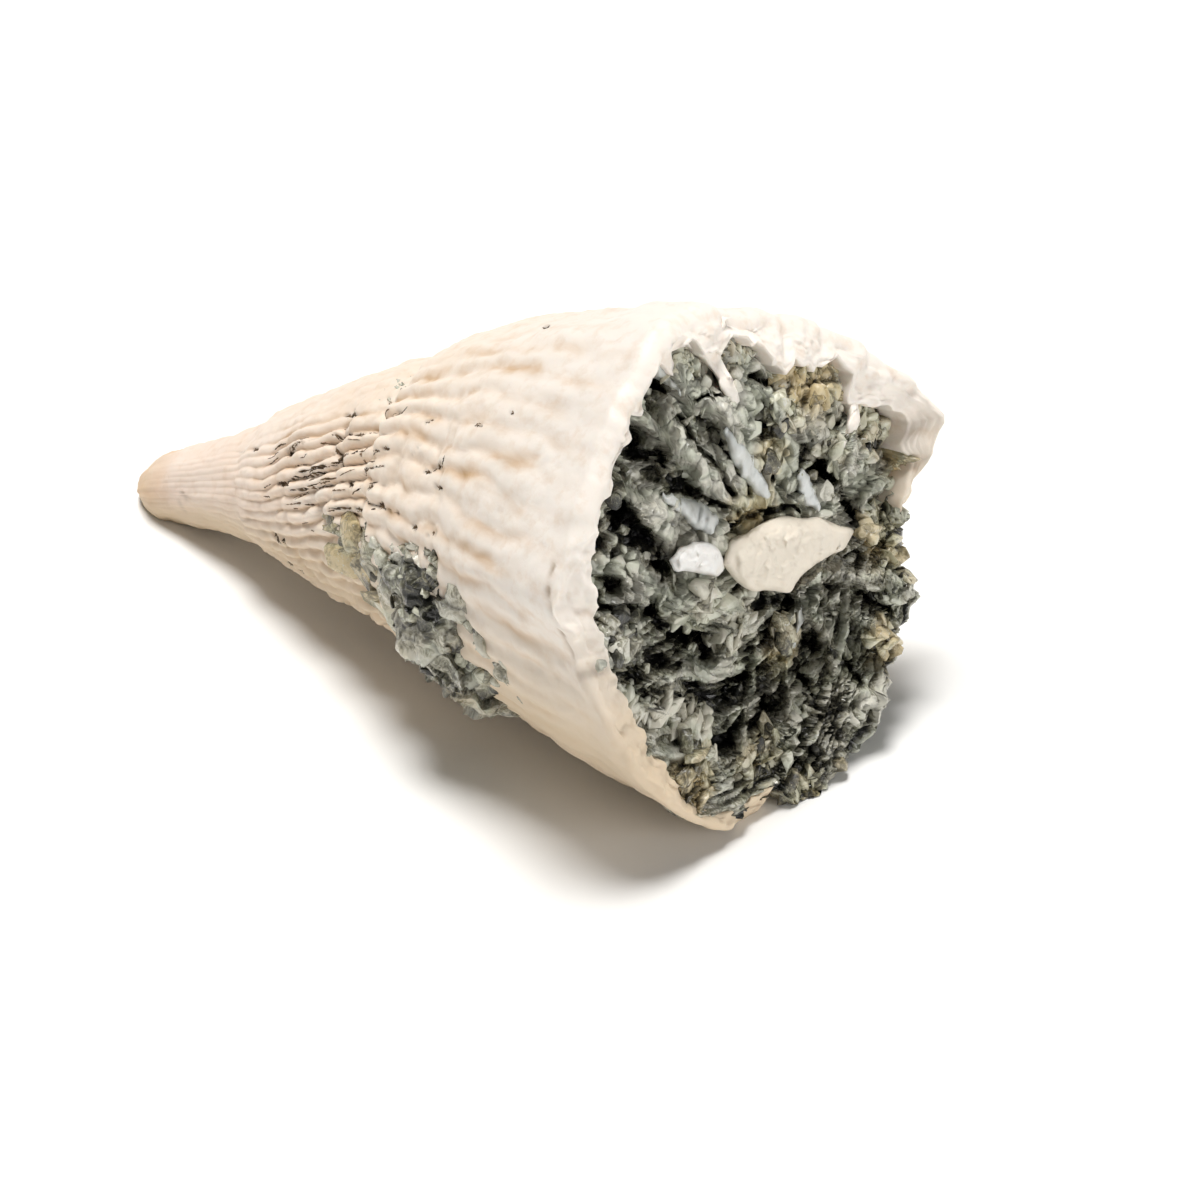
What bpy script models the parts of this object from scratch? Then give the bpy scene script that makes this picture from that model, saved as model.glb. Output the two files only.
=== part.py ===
# Fossil horn coral, lying on its side the way it rests on a table.
#
# corallite       the ribbed horn with its growth steps, broken rim, septa and columella
# calice_matrix   cemented glassy grains that fill the broken calice between the septa
# side_matrix     a lump of the same rock in the break on the lower side
#
# The axis runs from the tip (-X) up to the calice (+X). +Z is up, and the origin is in
# the middle of the base. Angles around the axis start at the top of the horn and grow
# towards -Y, so 90 degrees is the -Y side and 180 degrees is underneath.

import math

import bmesh
import bpy
from mathutils import Vector, noise

MM = 0.001

# Driving dimensions
AXIS_LENGTH = 35.0 * MM  # from the tip to the middle of the broken calice
AXIS_CLIMB = math.radians(15.1)  # the horn widens towards the calice, so its axis climbs
TIP = Vector((-18.175, -0.47, 0.42)) * MM  # start of the axis
GAP = 0.3 * MM  # kept between neighbouring solids
RIB_COUNT = 44
SEPTUM_COUNT = 24  # every second one is a short one

AXIS = Vector((math.cos(AXIS_CLIMB), 0.0, math.sin(AXIS_CLIMB)))
SECTION_UP = Vector((-math.sin(AXIS_CLIMB), 0.0, math.cos(AXIS_CLIMB)))
SECTION_SIDE = Vector((0.0, -1.0, 0.0))

# Distance along the axis and radius of the horn there, in mm
HORN_RADII = (
    (-0.5, 0.35),
    (0.2, 0.95),
    (1.4, 1.5),
    (3.0, 1.75),
    (6.0, 2.15),
    (10.0, 3.4),
    (14.0, 4.55),
    (19.0, 6.15),
    (24.0, 7.85),
    (29.0, 9.3),
    (35.0, 10.6),
    (37.0, 10.8),
)
ARCH = 1.3 * MM  # how far the middle of the axis bows upwards
ARCH_LEAN = 0.1 * MM  # shifts the bow towards the tip

# The broken end, going round: angle, outer radius, radius of the bowl, reach along the axis
RIM = (
    (0, 10.5, 8.8, -0.2),
    (15, 11.0, 9.8, 0.2),
    (30, 10.6, 9.6, 0.3),
    (45, 10.4, 9.3, 0.2),
    (60, 10.6, 9.4, 0.0),
    (75, 11.1, 9.4, -0.7),
    (90, 10.2, 9.1, -0.5),
    (105, 10.2, 8.9, 0.0),
    (120, 10.3, 9.0, 0.1),
    (135, 10.3, 9.2, 0.3),
    (150, 10.5, 9.3, 0.2),
    (165, 10.5, 9.3, -0.7),
    (180, 10.5, 9.3, -1.6),
    (195, 10.4, 9.2, -1.8),
    (210, 10.2, 9.0, -2.0),
    (225, 10.1, 8.9, -1.9),
    (240, 10.3, 9.0, -1.5),
    (255, 9.9, 8.8, -1.0),
    (264, 10.0, 8.8, 0.0),
    (272, 10.9, 9.3, 0.7),
    (278, 11.5, 9.6, 1.0),
    (286, 11.1, 9.5, 0.5),
    (300, 10.5, 8.9, 0.0),
    (315, 10.0, 8.2, -0.4),
    (330, 9.6, 7.9, -0.5),
    (345, 9.6, 8.1, -0.6),
)
RIM_ANGLE, RIM_OUTER, RIM_BOWL, RIM_REACH = range(4)
RIM_STARTS = 22.0  # mm along the axis where the section starts to turn into the rim's shape

# Ribs
COLUMNS_PER_RIB = 3  # one furrow and the two shoulders of a rib
RIB_HEIGHT = 0.3 * MM
RIBS_BEGIN = (7.0, 13.0)  # mm along the axis: they grow out of the smooth tip
RIBS_END = (31.0, 35.0)  # mm along the axis: they sink into the rim
FADED_FROM, FADED_TO = -95.0, 18.0  # degrees: the worn stretch on top where ribs fade out
FADED_ALONG = (15.0, 24.0)
TWIST_STARTS = 24.0  # mm along the axis: the ribs turn on both sides of it
TWIST_TO_TIP = 1.1  # degrees per mm
TWIST_TO_TIP_LENGTH = 9.0
TWIST_TO_RIM = 0.45  # degrees per mm
WALL_LUMPS = 0.22 * MM

# Growth steps: distance along the axis, drop just before it, and where it runs, in degrees
GROWTH_STEPS = (
    (17.0, 0.35, 20.0, 300.0),
    (19.9, 0.55, -70.0, 290.0),
    (25.4, 0.3, 36.0, 60.0),
    (8.8, 0.2, -180.0, 180.0),
)
STEP_LENGTH = 3.0  # mm over which the wall sinks before a step

# The horn lies on its tip and its rim: distance along the axis and height of the underside
# there, both in mm
UNDERSIDE = ((4.0, 0.0), (9.0, 1.5), (20.0, 1.5), (26.0, 0.0))

# The swollen patch under the middle of the horn
BELLY_HEIGHT = 0.35 * MM
BELLY_ANGLE, BELLY_HALF_WIDTH = 130.0, 60.0
BELLY_RISES, BELLY_FALLS = (11.0, 16.5), (20.0, 26.0)  # mm along the axis

# Rings of the wall along the axis, in mm: coarse ones at the tip, then ribbed ones
TIP_RINGS = (-0.5, 0.0, 0.6, 1.5, 3.0, 4.6, 6.2, 7.8, 8.9)
RIBBED_RINGS = (10.4, 12.4, 14.4, 16.0, 17.0, 17.6, 19.8, 20.3, 22.2, 24.9, 25.5, 27.8,
                30.2, 32.4, 34.0, 35.0)

# Calice
BOWL_FLOOR = 29.6  # mm along the axis
BOWL_ROUNDING = 1.2
BOWL_TAPER = 0.1  # share by which the bowl narrows down to its floor
BOWL_CUT_TOP = 38.0  # mm along the axis, well past the rim
FACE_COLUMNS = 44
FACE_RINGS = (0.22, 0.36, 0.5, 0.63, 0.76, 0.88, 1.0)  # shares of the bowl's radius
FACE_LUMPS = 0.42 * MM
FACE_LUMP_SCALE = 5.3
FACE_DEPTH = 0.2 * MM
FACE_HOLLOW = 1.1 * MM  # how far the fill sinks below the columella
HOLLOW_ANGLE = 178.0
FACE_LIP = 0.9 * MM  # how far the fill juts out again along the lower edge
LIP_ANGLE = 195.0
LIP_HALF_WIDTH = (20.0, 45.0)  # degrees: full up to the first, gone at the second
NECK_TOP = 33.6  # mm along the axis: the fill's neck where the wall is whole
BROKEN_BELOW = -0.8 * MM  # a rim that reaches less far than this is broken away

SEPTUM_START_ANGLE = 7.0
LONG_SEPTUM_INNER = 3.1
SHORT_SEPTUM_INNER = 6.3
SEPTUM_INNER_WIDTH = 0.34
SEPTUM_OUTER_WIDTH = 0.62
SEPTUM_STANDS_OUT = 0.3
SEPTUM_ROOT = 0.5  # mm that a septum runs into the wall
SEPTUM_FOOT = BOWL_FLOOR + 1.6  # mm along the axis, clear of the bowl's floor

# Posts in the calice: place is (towards -Y, up) from the axis in mm, turn is in degrees, and
# each ring is the distance along the axis and the share of the full width there
COLUMELLA = {
    "place": (-0.7, -0.4), "half_long": 2.6, "half_wide": 1.4, "turn": 10.0,
    "rings": ((BOWL_FLOOR - 0.6, 0.8), (33.5, 0.85), (34.8, 1.0), (35.6, 0.85), (36.1, 0.5)),
}
SWOLLEN_END = {
    "place": (3.25, 1.3), "half_long": 1.5, "half_wide": 0.75, "turn": -22.0,
    "rings": ((33.6, 0.4), (34.2, 0.8), (34.9, 1.0), (35.4, 0.85), (35.7, 0.5)),
}

# Side break
BREAK_AT = 25.8  # mm along the axis
BREAK_ANGLE = 106.0
BREAK_SIZE = Vector((3.8, 3.8, 2.0))  # mm: along the axis, around it, and outwards
BREAK_SINK = 1.4 * MM  # how far the lump's middle lies under the wall's surface
BREAK_LUMPS = 0.12  # share of its size


def smooth_between(rows, value):
    """Cubic curve through rows of (position, height)."""
    value = min(max(value, rows[0][0]), rows[-1][0])
    last = len(rows) - 1
    i = 0
    while i < last - 1 and value > rows[i + 1][0]:
        i += 1

    def slope(k):
        low, high = max(k - 1, 0), min(k + 1, last)
        return (rows[high][1] - rows[low][1]) / (rows[high][0] - rows[low][0])

    width = rows[i + 1][0] - rows[i][0]
    u = (value - rows[i][0]) / width
    start, end = rows[i][1], rows[i + 1][1]
    return (start * (2 * u**3 - 3 * u**2 + 1) + end * (3 * u**2 - 2 * u**3)
            + width * (slope(i) * (u**3 - 2 * u**2 + u) + slope(i + 1) * (u**3 - u**2)))


def rim_value(degrees, column):
    """One column of the RIM table at any angle, in metres."""
    degrees %= 360.0
    for here, after in zip(RIM, RIM[1:] + ((360,) + RIM[0][1:],)):
        if degrees <= after[RIM_ANGLE]:
            u = (degrees - here[RIM_ANGLE]) / (after[RIM_ANGLE] - here[RIM_ANGLE])
            u = u * u * (3 - 2 * u)
            return (here[column] * (1 - u) + after[column] * u) * MM


def ease(value, low, high):
    """0 below low, 1 above high, and a smooth rise between them."""
    u = min(max((value - low) / (high - low), 0.0), 1.0)
    return u * u * (3 - 2 * u)


def turn_between(a, b):
    """Smallest difference of two angles, in degrees."""
    return abs((a - b + 180.0) % 360.0 - 180.0)


def window(degrees, start, end, soft=12.0):
    """1 inside a stretch of the circle, easing to 0 outside it."""
    middle, half = (start + end) / 2, (end - start) / 2
    if half >= 180.0:
        return 1.0
    return 1.0 - ease(turn_between(degrees, middle), half - soft, half + soft)


def axis_point(along):
    """Point of the bowed axis, along in mm."""
    share = min(max(along * MM / AXIS_LENGTH, 0.0), 1.0)
    bow = share * (1 - share)
    lift = 4 * ARCH * bow + 6 * ARCH_LEAN * bow * (1 - 2 * share)
    return TIP + AXIS * along * MM + SECTION_UP * lift


def outward(degrees):
    angle = math.radians(degrees)
    return SECTION_UP * math.cos(angle) + SECTION_SIDE * math.sin(angle)


def step_drop(along, degrees):
    """The wall sinks just before each growth step and rises again after it."""
    drop = 0.0
    for place, depth, start, end in GROWTH_STEPS:
        before = place - along
        if 0.0 <= before < STEP_LENGTH:
            drop += depth * MM * (1 - before / STEP_LENGTH) * window(degrees, start, end)
    return drop


def belly(along, degrees):
    around = max(0.0, 1 - turn_between(degrees, BELLY_ANGLE) / BELLY_HALF_WIDTH)
    return BELLY_HEIGHT * ease(along, *BELLY_RISES) * (1 - ease(along, *BELLY_FALLS)) * around


def rib_twist(along):
    """How far the ribs have turned around the axis, in degrees."""
    away = along - TWIST_STARTS
    return TWIST_TO_RIM * away if away > 0 else TWIST_TO_TIP * min(-away, TWIST_TO_TIP_LENGTH)


def horn_radius(along, degrees):
    """Radius of the horn without its ribs."""
    radius = smooth_between(HORN_RADII, along) * MM
    rim_share = rim_value(degrees, RIM_OUTER) / (HORN_RADII[-2][1] * MM)
    radius *= 1 + (rim_share - 1) * ease(along, RIM_STARTS, AXIS_LENGTH / MM)
    angle = math.radians(degrees)
    spot = Vector((along * 0.33, math.cos(angle), math.sin(angle)))
    lumps = noise.noise(spot * 1.7) * WALL_LUMPS * ease(along, 0.0, 8.0)
    return radius + belly(along, degrees) - step_drop(along, degrees) + lumps


def rib_relief(along, degrees, in_furrow):
    """Height of a rib's shoulders over the wall, and depth of its furrows."""
    strength = ease(along, *RIBS_BEGIN) * (1 - 0.7 * ease(along, *RIBS_END))
    strength *= 1 - 0.75 * window(degrees, FADED_FROM, FADED_TO) * ease(along, *FADED_ALONG)
    return RIB_HEIGHT * strength * (-0.7 if in_furrow else 0.3)


def wall_point(along, degrees, in_furrow=False):
    radius = horn_radius(along, degrees) + rib_relief(along, degrees, in_furrow)
    point = axis_point(along) + outward(degrees) * radius
    point.z = max(point.z, smooth_between(UNDERSIDE, along) * MM)  # worn flat where it lies
    return point


def bridge(bm, ring, after):
    """Faces between two closed rings; the second may have a whole number of times as many."""
    times = len(after) // len(ring)
    for i, vertex in enumerate(ring):
        neighbour = ring[(i + 1) % len(ring)]
        strip = [after[(i * times + k) % len(after)] for k in range(times + 1)]
        if times == 1:
            bm.faces.new((vertex, neighbour, strip[1], strip[0]))
            continue
        middle = times // 2
        for k in range(middle):
            bm.faces.new((vertex, strip[k + 1], strip[k]))
        bm.faces.new((vertex, neighbour, strip[middle + 1], strip[middle]))
        for k in range(middle + 1, times):
            bm.faces.new((neighbour, strip[k + 1], strip[k]))


def close_with_fan(bm, ring, point):
    middle = bm.verts.new(point)
    for i, vertex in enumerate(ring):
        bm.faces.new((vertex, ring[(i + 1) % len(ring)], middle))


def face_outwards(bm):
    bmesh.ops.recalc_face_normals(bm, faces=bm.faces[:])
    if bm.calc_volume(signed=True) < 0:
        bmesh.ops.reverse_faces(bm, faces=bm.faces[:])


def object_from(bm, name, collection):
    face_outwards(bm)
    mesh = bpy.data.meshes.new(name)
    bm.to_mesh(mesh)
    bm.free()
    made = bpy.data.objects.new(name, mesh)
    collection.objects.link(made)
    return made


def make_cutter(made):
    made.hide_render = True
    made.display_type = "WIRE"
    return made


def horn_blank(collection):
    """The ribbed horn as one solid, closed across the calice."""
    bm = bmesh.new()
    rings = []
    for along in TIP_RINGS:
        step = 360.0 / RIB_COUNT
        rings.append([bm.verts.new(wall_point(along, i * step)) for i in range(RIB_COUNT)])
    count = RIB_COUNT * COLUMNS_PER_RIB
    for along in RIBBED_RINGS:
        ring = []
        for i in range(count):
            degrees = i * 360.0 / count
            rib_degrees = degrees + rib_twist(along)
            reach = rim_value(rib_degrees, RIM_REACH) / MM * ease(along, *RIBS_END)
            ring.append(bm.verts.new(
                wall_point(along + reach, rib_degrees, in_furrow=i % COLUMNS_PER_RIB == 0)))
        rings.append(ring)
    for ring, after in zip(rings, rings[1:]):
        bridge(bm, ring, after)
    close_with_fan(bm, rings[0], axis_point(TIP_RINGS[0] - 0.2))
    close_with_fan(bm, rings[-1], axis_point(AXIS_LENGTH / MM))
    return object_from(bm, "corallite", collection)


def bowl_radius(degrees, along, inset):
    """The bowl narrows a little towards its rounded floor."""
    wide = rim_value(degrees, RIM_BOWL) - inset
    deep = (AXIS_LENGTH / MM - along) / (AXIS_LENGTH / MM - BOWL_FLOOR)
    return wide * (1 - BOWL_TAPER * min(max(deep, 0.0), 1.0))


def bowl_ring(bm, along, inset, share=1.0):
    ring = []
    for i in range(FACE_COLUMNS):
        degrees = i * 360.0 / FACE_COLUMNS
        radius = bowl_radius(degrees, along, inset) * share
        ring.append(bm.verts.new(axis_point(along) + outward(degrees) * radius))
    return ring


def bowl_cutter(collection):
    bm = bmesh.new()
    rings = [bowl_ring(bm, BOWL_FLOOR, 0.0, 0.85)]
    for along in (BOWL_FLOOR + BOWL_ROUNDING, NECK_TOP, AXIS_LENGTH / MM, BOWL_CUT_TOP):
        rings.append(bowl_ring(bm, along, 0.0))
    for ring, after in zip(rings, rings[1:]):
        bridge(bm, ring, after)
    close_with_fan(bm, rings[0], axis_point(BOWL_FLOOR))
    close_with_fan(bm, rings[-1], axis_point(BOWL_CUT_TOP))
    return make_cutter(object_from(bm, "bowl_cutter", collection))


def face_height(degrees, share):
    """Where the broken fill ends along the axis, in mm, at a share of the bowl's radius."""
    hollow = ease(180.0 - turn_between(degrees, HOLLOW_ANGLE), 70.0, 170.0)
    hollow *= math.sin(math.pi * share)
    spot = outward(degrees) * share * FACE_LUMP_SCALE
    lumps = (noise.noise(spot + Vector((3.1, 0.0, 0.0))) + 0.6 * noise.noise(spot * 2.3)
             + 0.9 * noise.noise(spot * 6.1))
    lip = 1 - ease(turn_between(degrees, LIP_ANGLE), *LIP_HALF_WIDTH)
    lip *= ease(share, 0.6, 0.85)
    height = AXIS_LENGTH - FACE_DEPTH + lumps * FACE_LUMPS - hollow * FACE_HOLLOW
    height = (height + lip * FACE_LIP) / MM
    return max(height, neck_height(degrees) + 0.4) if share > 0.8 else height


def matrix_bulge(degrees):
    """How far the fill swells out over the wall where the rim is broken away, in metres."""
    broken = ease(-rim_value(degrees, RIM_REACH) / MM, 1.1, 1.7)
    return (rim_value(degrees, RIM_OUTER) - rim_value(degrees, RIM_BOWL)) * broken


def neck_height(degrees):
    """Level just over the broken wall, in mm along the axis."""
    reach = rim_value(degrees, RIM_REACH)
    return (AXIS_LENGTH + reach + 1.7 * GAP) / MM if reach < BROKEN_BELOW else NECK_TOP


def matrix_ring(bm, height, share, bulging):
    """One loop of the fill; height gives the place along the axis for each angle."""
    ring = []
    for i in range(FACE_COLUMNS):
        degrees = i * 360.0 / FACE_COLUMNS
        along = height(degrees)
        radius = bowl_radius(degrees, along, GAP)
        if bulging:
            radius += matrix_bulge(degrees)
        point = axis_point(along) + outward(degrees) * radius * share
        point.z = max(point.z, 0.0)
        ring.append(bm.verts.new(point))
    return ring


def matrix_blank(collection):
    """The fill of the bowl, lumpy in front, bulging out where the wall is broken away."""
    bm = bmesh.new()
    floor = BOWL_FLOOR + GAP / MM
    rings = [bowl_ring(bm, floor, GAP, 0.84), bowl_ring(bm, floor + BOWL_ROUNDING, GAP),
             matrix_ring(bm, neck_height, 1.0, False),
             matrix_ring(bm, lambda degrees: neck_height(degrees) + 0.1, 1.0, True)]
    for share in reversed(FACE_RINGS):
        rings.append(matrix_ring(bm, lambda degrees: face_height(degrees, share), share, True))
    for ring, after in zip(rings, rings[1:]):
        bridge(bm, ring, after)
    close_with_fan(bm, rings[0], axis_point(floor))
    close_with_fan(bm, rings[-1], axis_point(face_height(0.0, 0.0)))
    return object_from(bm, "calice_matrix", collection)


def septum_blade(bm, degrees, inner, grow):
    """A wedge-shaped plate from the wall towards the middle; grow thickens it."""
    worn = min(rim_value(degrees, RIM_REACH) / MM * 0.8, 0.0)
    top = AXIS_LENGTH / MM + SEPTUM_STANDS_OUT + grow
    across = outward(degrees + 90.0)
    corners = []
    for along in (SEPTUM_FOOT - grow, top):
        outer = bowl_radius(degrees, along, 0.0) / MM + SEPTUM_ROOT + grow
        if along == top:
            outer -= matrix_bulge(degrees) / MM  # stays inside the fill that covers the wall
        for radius, width in ((inner - grow, SEPTUM_INNER_WIDTH), (outer, SEPTUM_OUTER_WIDTH)):
            half = width / 2 + grow
            for side in (-half, half):
                slope = worn * radius / outer if along == top else 0.0
                point = axis_point(along + slope) + (outward(degrees) * radius + across * side) * MM
                corners.append(bm.verts.new(point))
    low, high = corners[:4], corners[4:]
    bm.faces.new((low[0], low[1], low[3], low[2]))
    bm.faces.new((high[0], high[2], high[3], high[1]))
    for a, b in ((0, 1), (1, 3), (3, 2), (2, 0)):
        bm.faces.new((low[a], high[a], high[b], low[b]))


def septa(name, collection, grow=0.0):
    bm = bmesh.new()
    for i in range(SEPTUM_COUNT):
        inner = SHORT_SEPTUM_INNER if i % 2 else LONG_SEPTUM_INNER
        septum_blade(bm, SEPTUM_START_ANGLE + i * 360.0 / SEPTUM_COUNT, inner, grow)
    return make_cutter(object_from(bm, name, collection))


def pillar(bm, place, half_long, half_wide, turn, rings, grow):
    """A lumpy post standing along the axis: place is (towards -Y, up) from the axis, in mm."""
    columns = 12
    loops = []
    turned = math.radians(turn)
    for along, share in rings:
        loop = []
        for i in range(columns):
            angle = i * 2 * math.pi / columns
            long_part = math.cos(angle) * (half_long * share + grow)
            wide_part = math.sin(angle) * (half_wide * share + grow)
            side = place[0] + long_part * math.cos(turned) - wide_part * math.sin(turned)
            up = place[1] + long_part * math.sin(turned) + wide_part * math.cos(turned)
            wobble = 1 + 0.1 * noise.noise(Vector((side, up, along)) * 0.8)
            offset = SECTION_SIDE * side * wobble + SECTION_UP * up * wobble
            loop.append(bm.verts.new(axis_point(along) + offset * MM))
        loops.append(loop)
    for loop, after in zip(loops, loops[1:]):
        bridge(bm, loop, after)
    middle = (SECTION_SIDE * place[0] + SECTION_UP * place[1]) * MM
    close_with_fan(bm, loops[0], axis_point(rings[0][0]) + middle)
    close_with_fan(bm, loops[-1], axis_point(rings[-1][0] + 0.12) + middle)


def columella(name, collection, grow=0.0):
    """The columella, and the swollen septum end beside it."""
    bm = bmesh.new()
    for post in (COLUMELLA, SWOLLEN_END):
        bottom, top = post["rings"][0][0], post["rings"][-1][0]
        rings = [(along + (grow if along == top else -grow if along == bottom else 0), share)
                 for along, share in post["rings"]]
        pillar(bm, post["place"], post["half_long"], post["half_wide"], post["turn"], rings, grow)
    return make_cutter(object_from(bm, name, collection))


def break_lump(name, collection, grow=0.0, on_floor=True):
    """Rounded lump of rock in the side of the horn; grow makes it larger all round, in mm."""
    bm = bmesh.new()
    bmesh.ops.create_icosphere(bm, subdivisions=3, radius=1.0)
    out = outward(BREAK_ANGLE)
    around = AXIS.cross(out)
    middle = axis_point(BREAK_AT) + out * (horn_radius(BREAK_AT, BREAK_ANGLE) - BREAK_SINK)
    for vertex in bm.verts:
        spot = vertex.co.copy()
        lumps = noise.noise(spot * 2.6) + 0.6 * noise.noise(spot * 5.2)
        size = BREAK_SIZE + Vector((grow, grow, grow))
        size = size * (1 + lumps * BREAK_LUMPS)
        point = middle + (AXIS * spot.x * size.x + around * spot.y * size.y
                          + out * spot.z * size.z) * MM
        if on_floor:
            point.z = max(point.z, 0.0)
        vertex.co = point
    return object_from(bm, name, collection)


def boolean(target, operation, operand):
    modifier = target.modifiers.new(operation.lower() + " " + operand.name, "BOOLEAN")
    modifier.operation = operation
    modifier.solver = "EXACT"
    modifier.object = operand


def stone_material(name, colour, roughness):
    material = bpy.data.materials.new(name)
    material.use_nodes = True
    shader = material.node_tree.nodes["Principled BSDF"]
    shader.inputs["Base Color"].default_value = (*colour, 1.0)
    shader.inputs["Roughness"].default_value = roughness
    shader.inputs["Metallic"].default_value = 0.0
    return material


def collection_named(name):
    made = bpy.data.collections.new(name)
    bpy.context.scene.collection.children.link(made)
    return made


def main():
    for old in list(bpy.data.objects):
        bpy.data.objects.remove(old, do_unlink=True)
    parts = collection_named("fossil_horn_coral")
    cutters = collection_named("cutters")

    corallite = horn_blank(parts)
    matrix = matrix_blank(parts)
    side = break_lump("side_matrix", parts)

    boolean(corallite, "DIFFERENCE", bowl_cutter(cutters))
    boolean(corallite, "UNION", septa("septa", cutters))
    boolean(corallite, "UNION", columella("columella", cutters))
    pocket = break_lump("side_pocket", cutters, grow=GAP / MM, on_floor=False)
    boolean(corallite, "DIFFERENCE", make_cutter(pocket))

    grow = GAP / MM
    boolean(matrix, "DIFFERENCE", septa("septa_room", cutters, grow))
    boolean(matrix, "DIFFERENCE", columella("columella_room", cutters, grow))

    corallite.data.materials.append(stone_material("coral", (0.82, 0.72, 0.60), 0.6))
    matrix.data.materials.append(stone_material("calice_rock", (0.22, 0.22, 0.18), 0.35))
    side.data.materials.append(stone_material("side_rock", (0.18, 0.19, 0.17), 0.35))


main()
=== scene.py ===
import math

import bmesh
import bpy
import numpy as np
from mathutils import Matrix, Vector


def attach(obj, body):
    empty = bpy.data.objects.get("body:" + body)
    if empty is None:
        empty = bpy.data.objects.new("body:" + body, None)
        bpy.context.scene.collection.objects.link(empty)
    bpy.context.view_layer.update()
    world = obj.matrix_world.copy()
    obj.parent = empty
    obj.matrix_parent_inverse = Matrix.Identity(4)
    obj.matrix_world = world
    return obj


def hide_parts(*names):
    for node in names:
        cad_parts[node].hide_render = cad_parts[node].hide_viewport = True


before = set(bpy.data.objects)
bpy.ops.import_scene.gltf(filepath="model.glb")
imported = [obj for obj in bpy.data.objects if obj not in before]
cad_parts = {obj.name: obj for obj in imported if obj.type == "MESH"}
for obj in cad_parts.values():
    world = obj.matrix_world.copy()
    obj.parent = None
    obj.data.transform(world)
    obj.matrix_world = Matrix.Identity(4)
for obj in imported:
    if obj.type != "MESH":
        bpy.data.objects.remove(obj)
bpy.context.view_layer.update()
mm = 0.001  # everything below is worked out in millimetres and scaled when its mesh is made
scene = bpy.context.scene

cameraView = {
    "place": (93.125, -103.719, 86.164),
    "aim": (-0.54469, 0.65838, -0.51947),
    "lens": 117.0,
}


def placeCamera():
    data = bpy.data.cameras.new("camera")
    data.lens = cameraView["lens"]
    data.sensor_width = 36.0
    data.clip_start = 0.005
    camera = bpy.data.objects.new("camera", data)
    camera.location = Vector(cameraView["place"]) * mm
    camera.rotation_euler = Vector(cameraView["aim"]).to_track_quat("-Z", "Y").to_euler()
    scene.collection.objects.link(camera)
    scene.camera = camera


placeCamera()
print("camera placed")

# The horn's own shape. Angles go around the axis: 0 is the top, 90 the -Y side, 180 underneath
hornForm = {
    "length": 35.0,
    "climb": 15.1,
    "tip": (-18.175, -0.47, 0.42),
    "arch": 1.3,
    "archLean": 0.1,
    # distance along the axis, radius
    "profile": ((-0.5, 0.35), (0.2, 0.95), (1.4, 1.5), (3.0, 1.75), (6.0, 2.15), (10.0, 3.4),
                (14.0, 4.55), (19.0, 6.15), (24.0, 7.85), (29.0, 9.3), (35.0, 10.6), (37.0, 10.8)),
    # angle, outer radius, reach along the axis
    "rim": ((0, 10.5, -0.2), (15, 11.0, 0.2), (30, 10.6, 0.3), (45, 10.4, 0.2), (60, 10.6, 0.0),
            (75, 11.1, -0.7), (90, 10.2, -0.5), (105, 10.2, 0.0), (120, 10.3, 0.1),
            (135, 10.3, 0.3), (150, 10.5, 0.2), (165, 10.5, -0.7), (180, 10.5, -1.6),
            (195, 10.4, -1.8), (210, 10.2, -2.0), (225, 10.1, -1.9), (240, 10.3, -1.5),
            (255, 9.9, -1.0), (264, 10.0, 0.0), (272, 10.9, 0.7), (278, 11.5, 1.0),
            (286, 11.1, 0.5), (300, 10.5, 0.0), (315, 10.0, -0.4), (330, 9.6, -0.5),
            (345, 9.6, -0.6), (360, 10.5, -0.2)),
    # angle, radius where the wall's broken edge ends inside
    "inside": ((0, 8.5), (4, 8.9), (8, 9.8), (14, 10.1), (16, 9.2), (18, 10.0), (27, 10.0),
               (30, 9.4), (33, 9.9), (37, 9.2), (44, 9.6), (52, 9.4), (60, 10.0), (70, 9.7),
               (80, 9.5), (90, 9.3), (105, 8.9), (115, 9.0), (125, 9.2), (135, 9.7),
               (142, 10.0), (155, 9.7), (170, 9.2), (250, 9.0), (262, 9.2), (270, 10.2),
               (274, 9.6), (278, 10.5), (285, 10.0), (292, 8.8), (298, 8.2), (303, 9.0),
               (309, 8.8), (318, 8.1), (326, 8.0), (330, 7.2), (334, 7.6), (345, 8.4),
               (352, 8.8), (357, 8.3), (360, 8.5)),
}
bowlFloor = 31.6  # mm along the axis, hidden under the fill
tableGap = 0.06  # mm that the rock keeps over the table
# the horn lies on its tip and its rim: distance along the axis, height of the underside there
underside = ((4.0, 0.0), (9.0, 1.5), (20.0, 1.5), (26.0, 0.0))


def softStep(x, low, high):
    u = np.clip((x - low) / (high - low), 0.0, 1.0)
    return u * u * (3 - 2 * u)


def alongCurve(rows, x):  # smooth curve through rows of position and height
    px = np.array([row[0] for row in rows], float)
    py = np.array([row[1] for row in rows], float)
    ends = np.arange(len(px))
    low, high = np.maximum(ends - 1, 0), np.minimum(ends + 1, len(px) - 1)
    slope = (py[high] - py[low]) / (px[high] - px[low])
    x = np.clip(x, px[0], px[-1])
    i = np.clip(np.searchsorted(px, x) - 1, 0, len(px) - 2)
    width = px[i + 1] - px[i]
    u = (x - px[i]) / width
    return (py[i] * (2 * u**3 - 3 * u**2 + 1) + py[i + 1] * (3 * u**2 - 2 * u**3)
            + width * (slope[i] * (u**3 - 2 * u**2 + u) + slope[i + 1] * (u**3 - u**2)))


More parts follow.
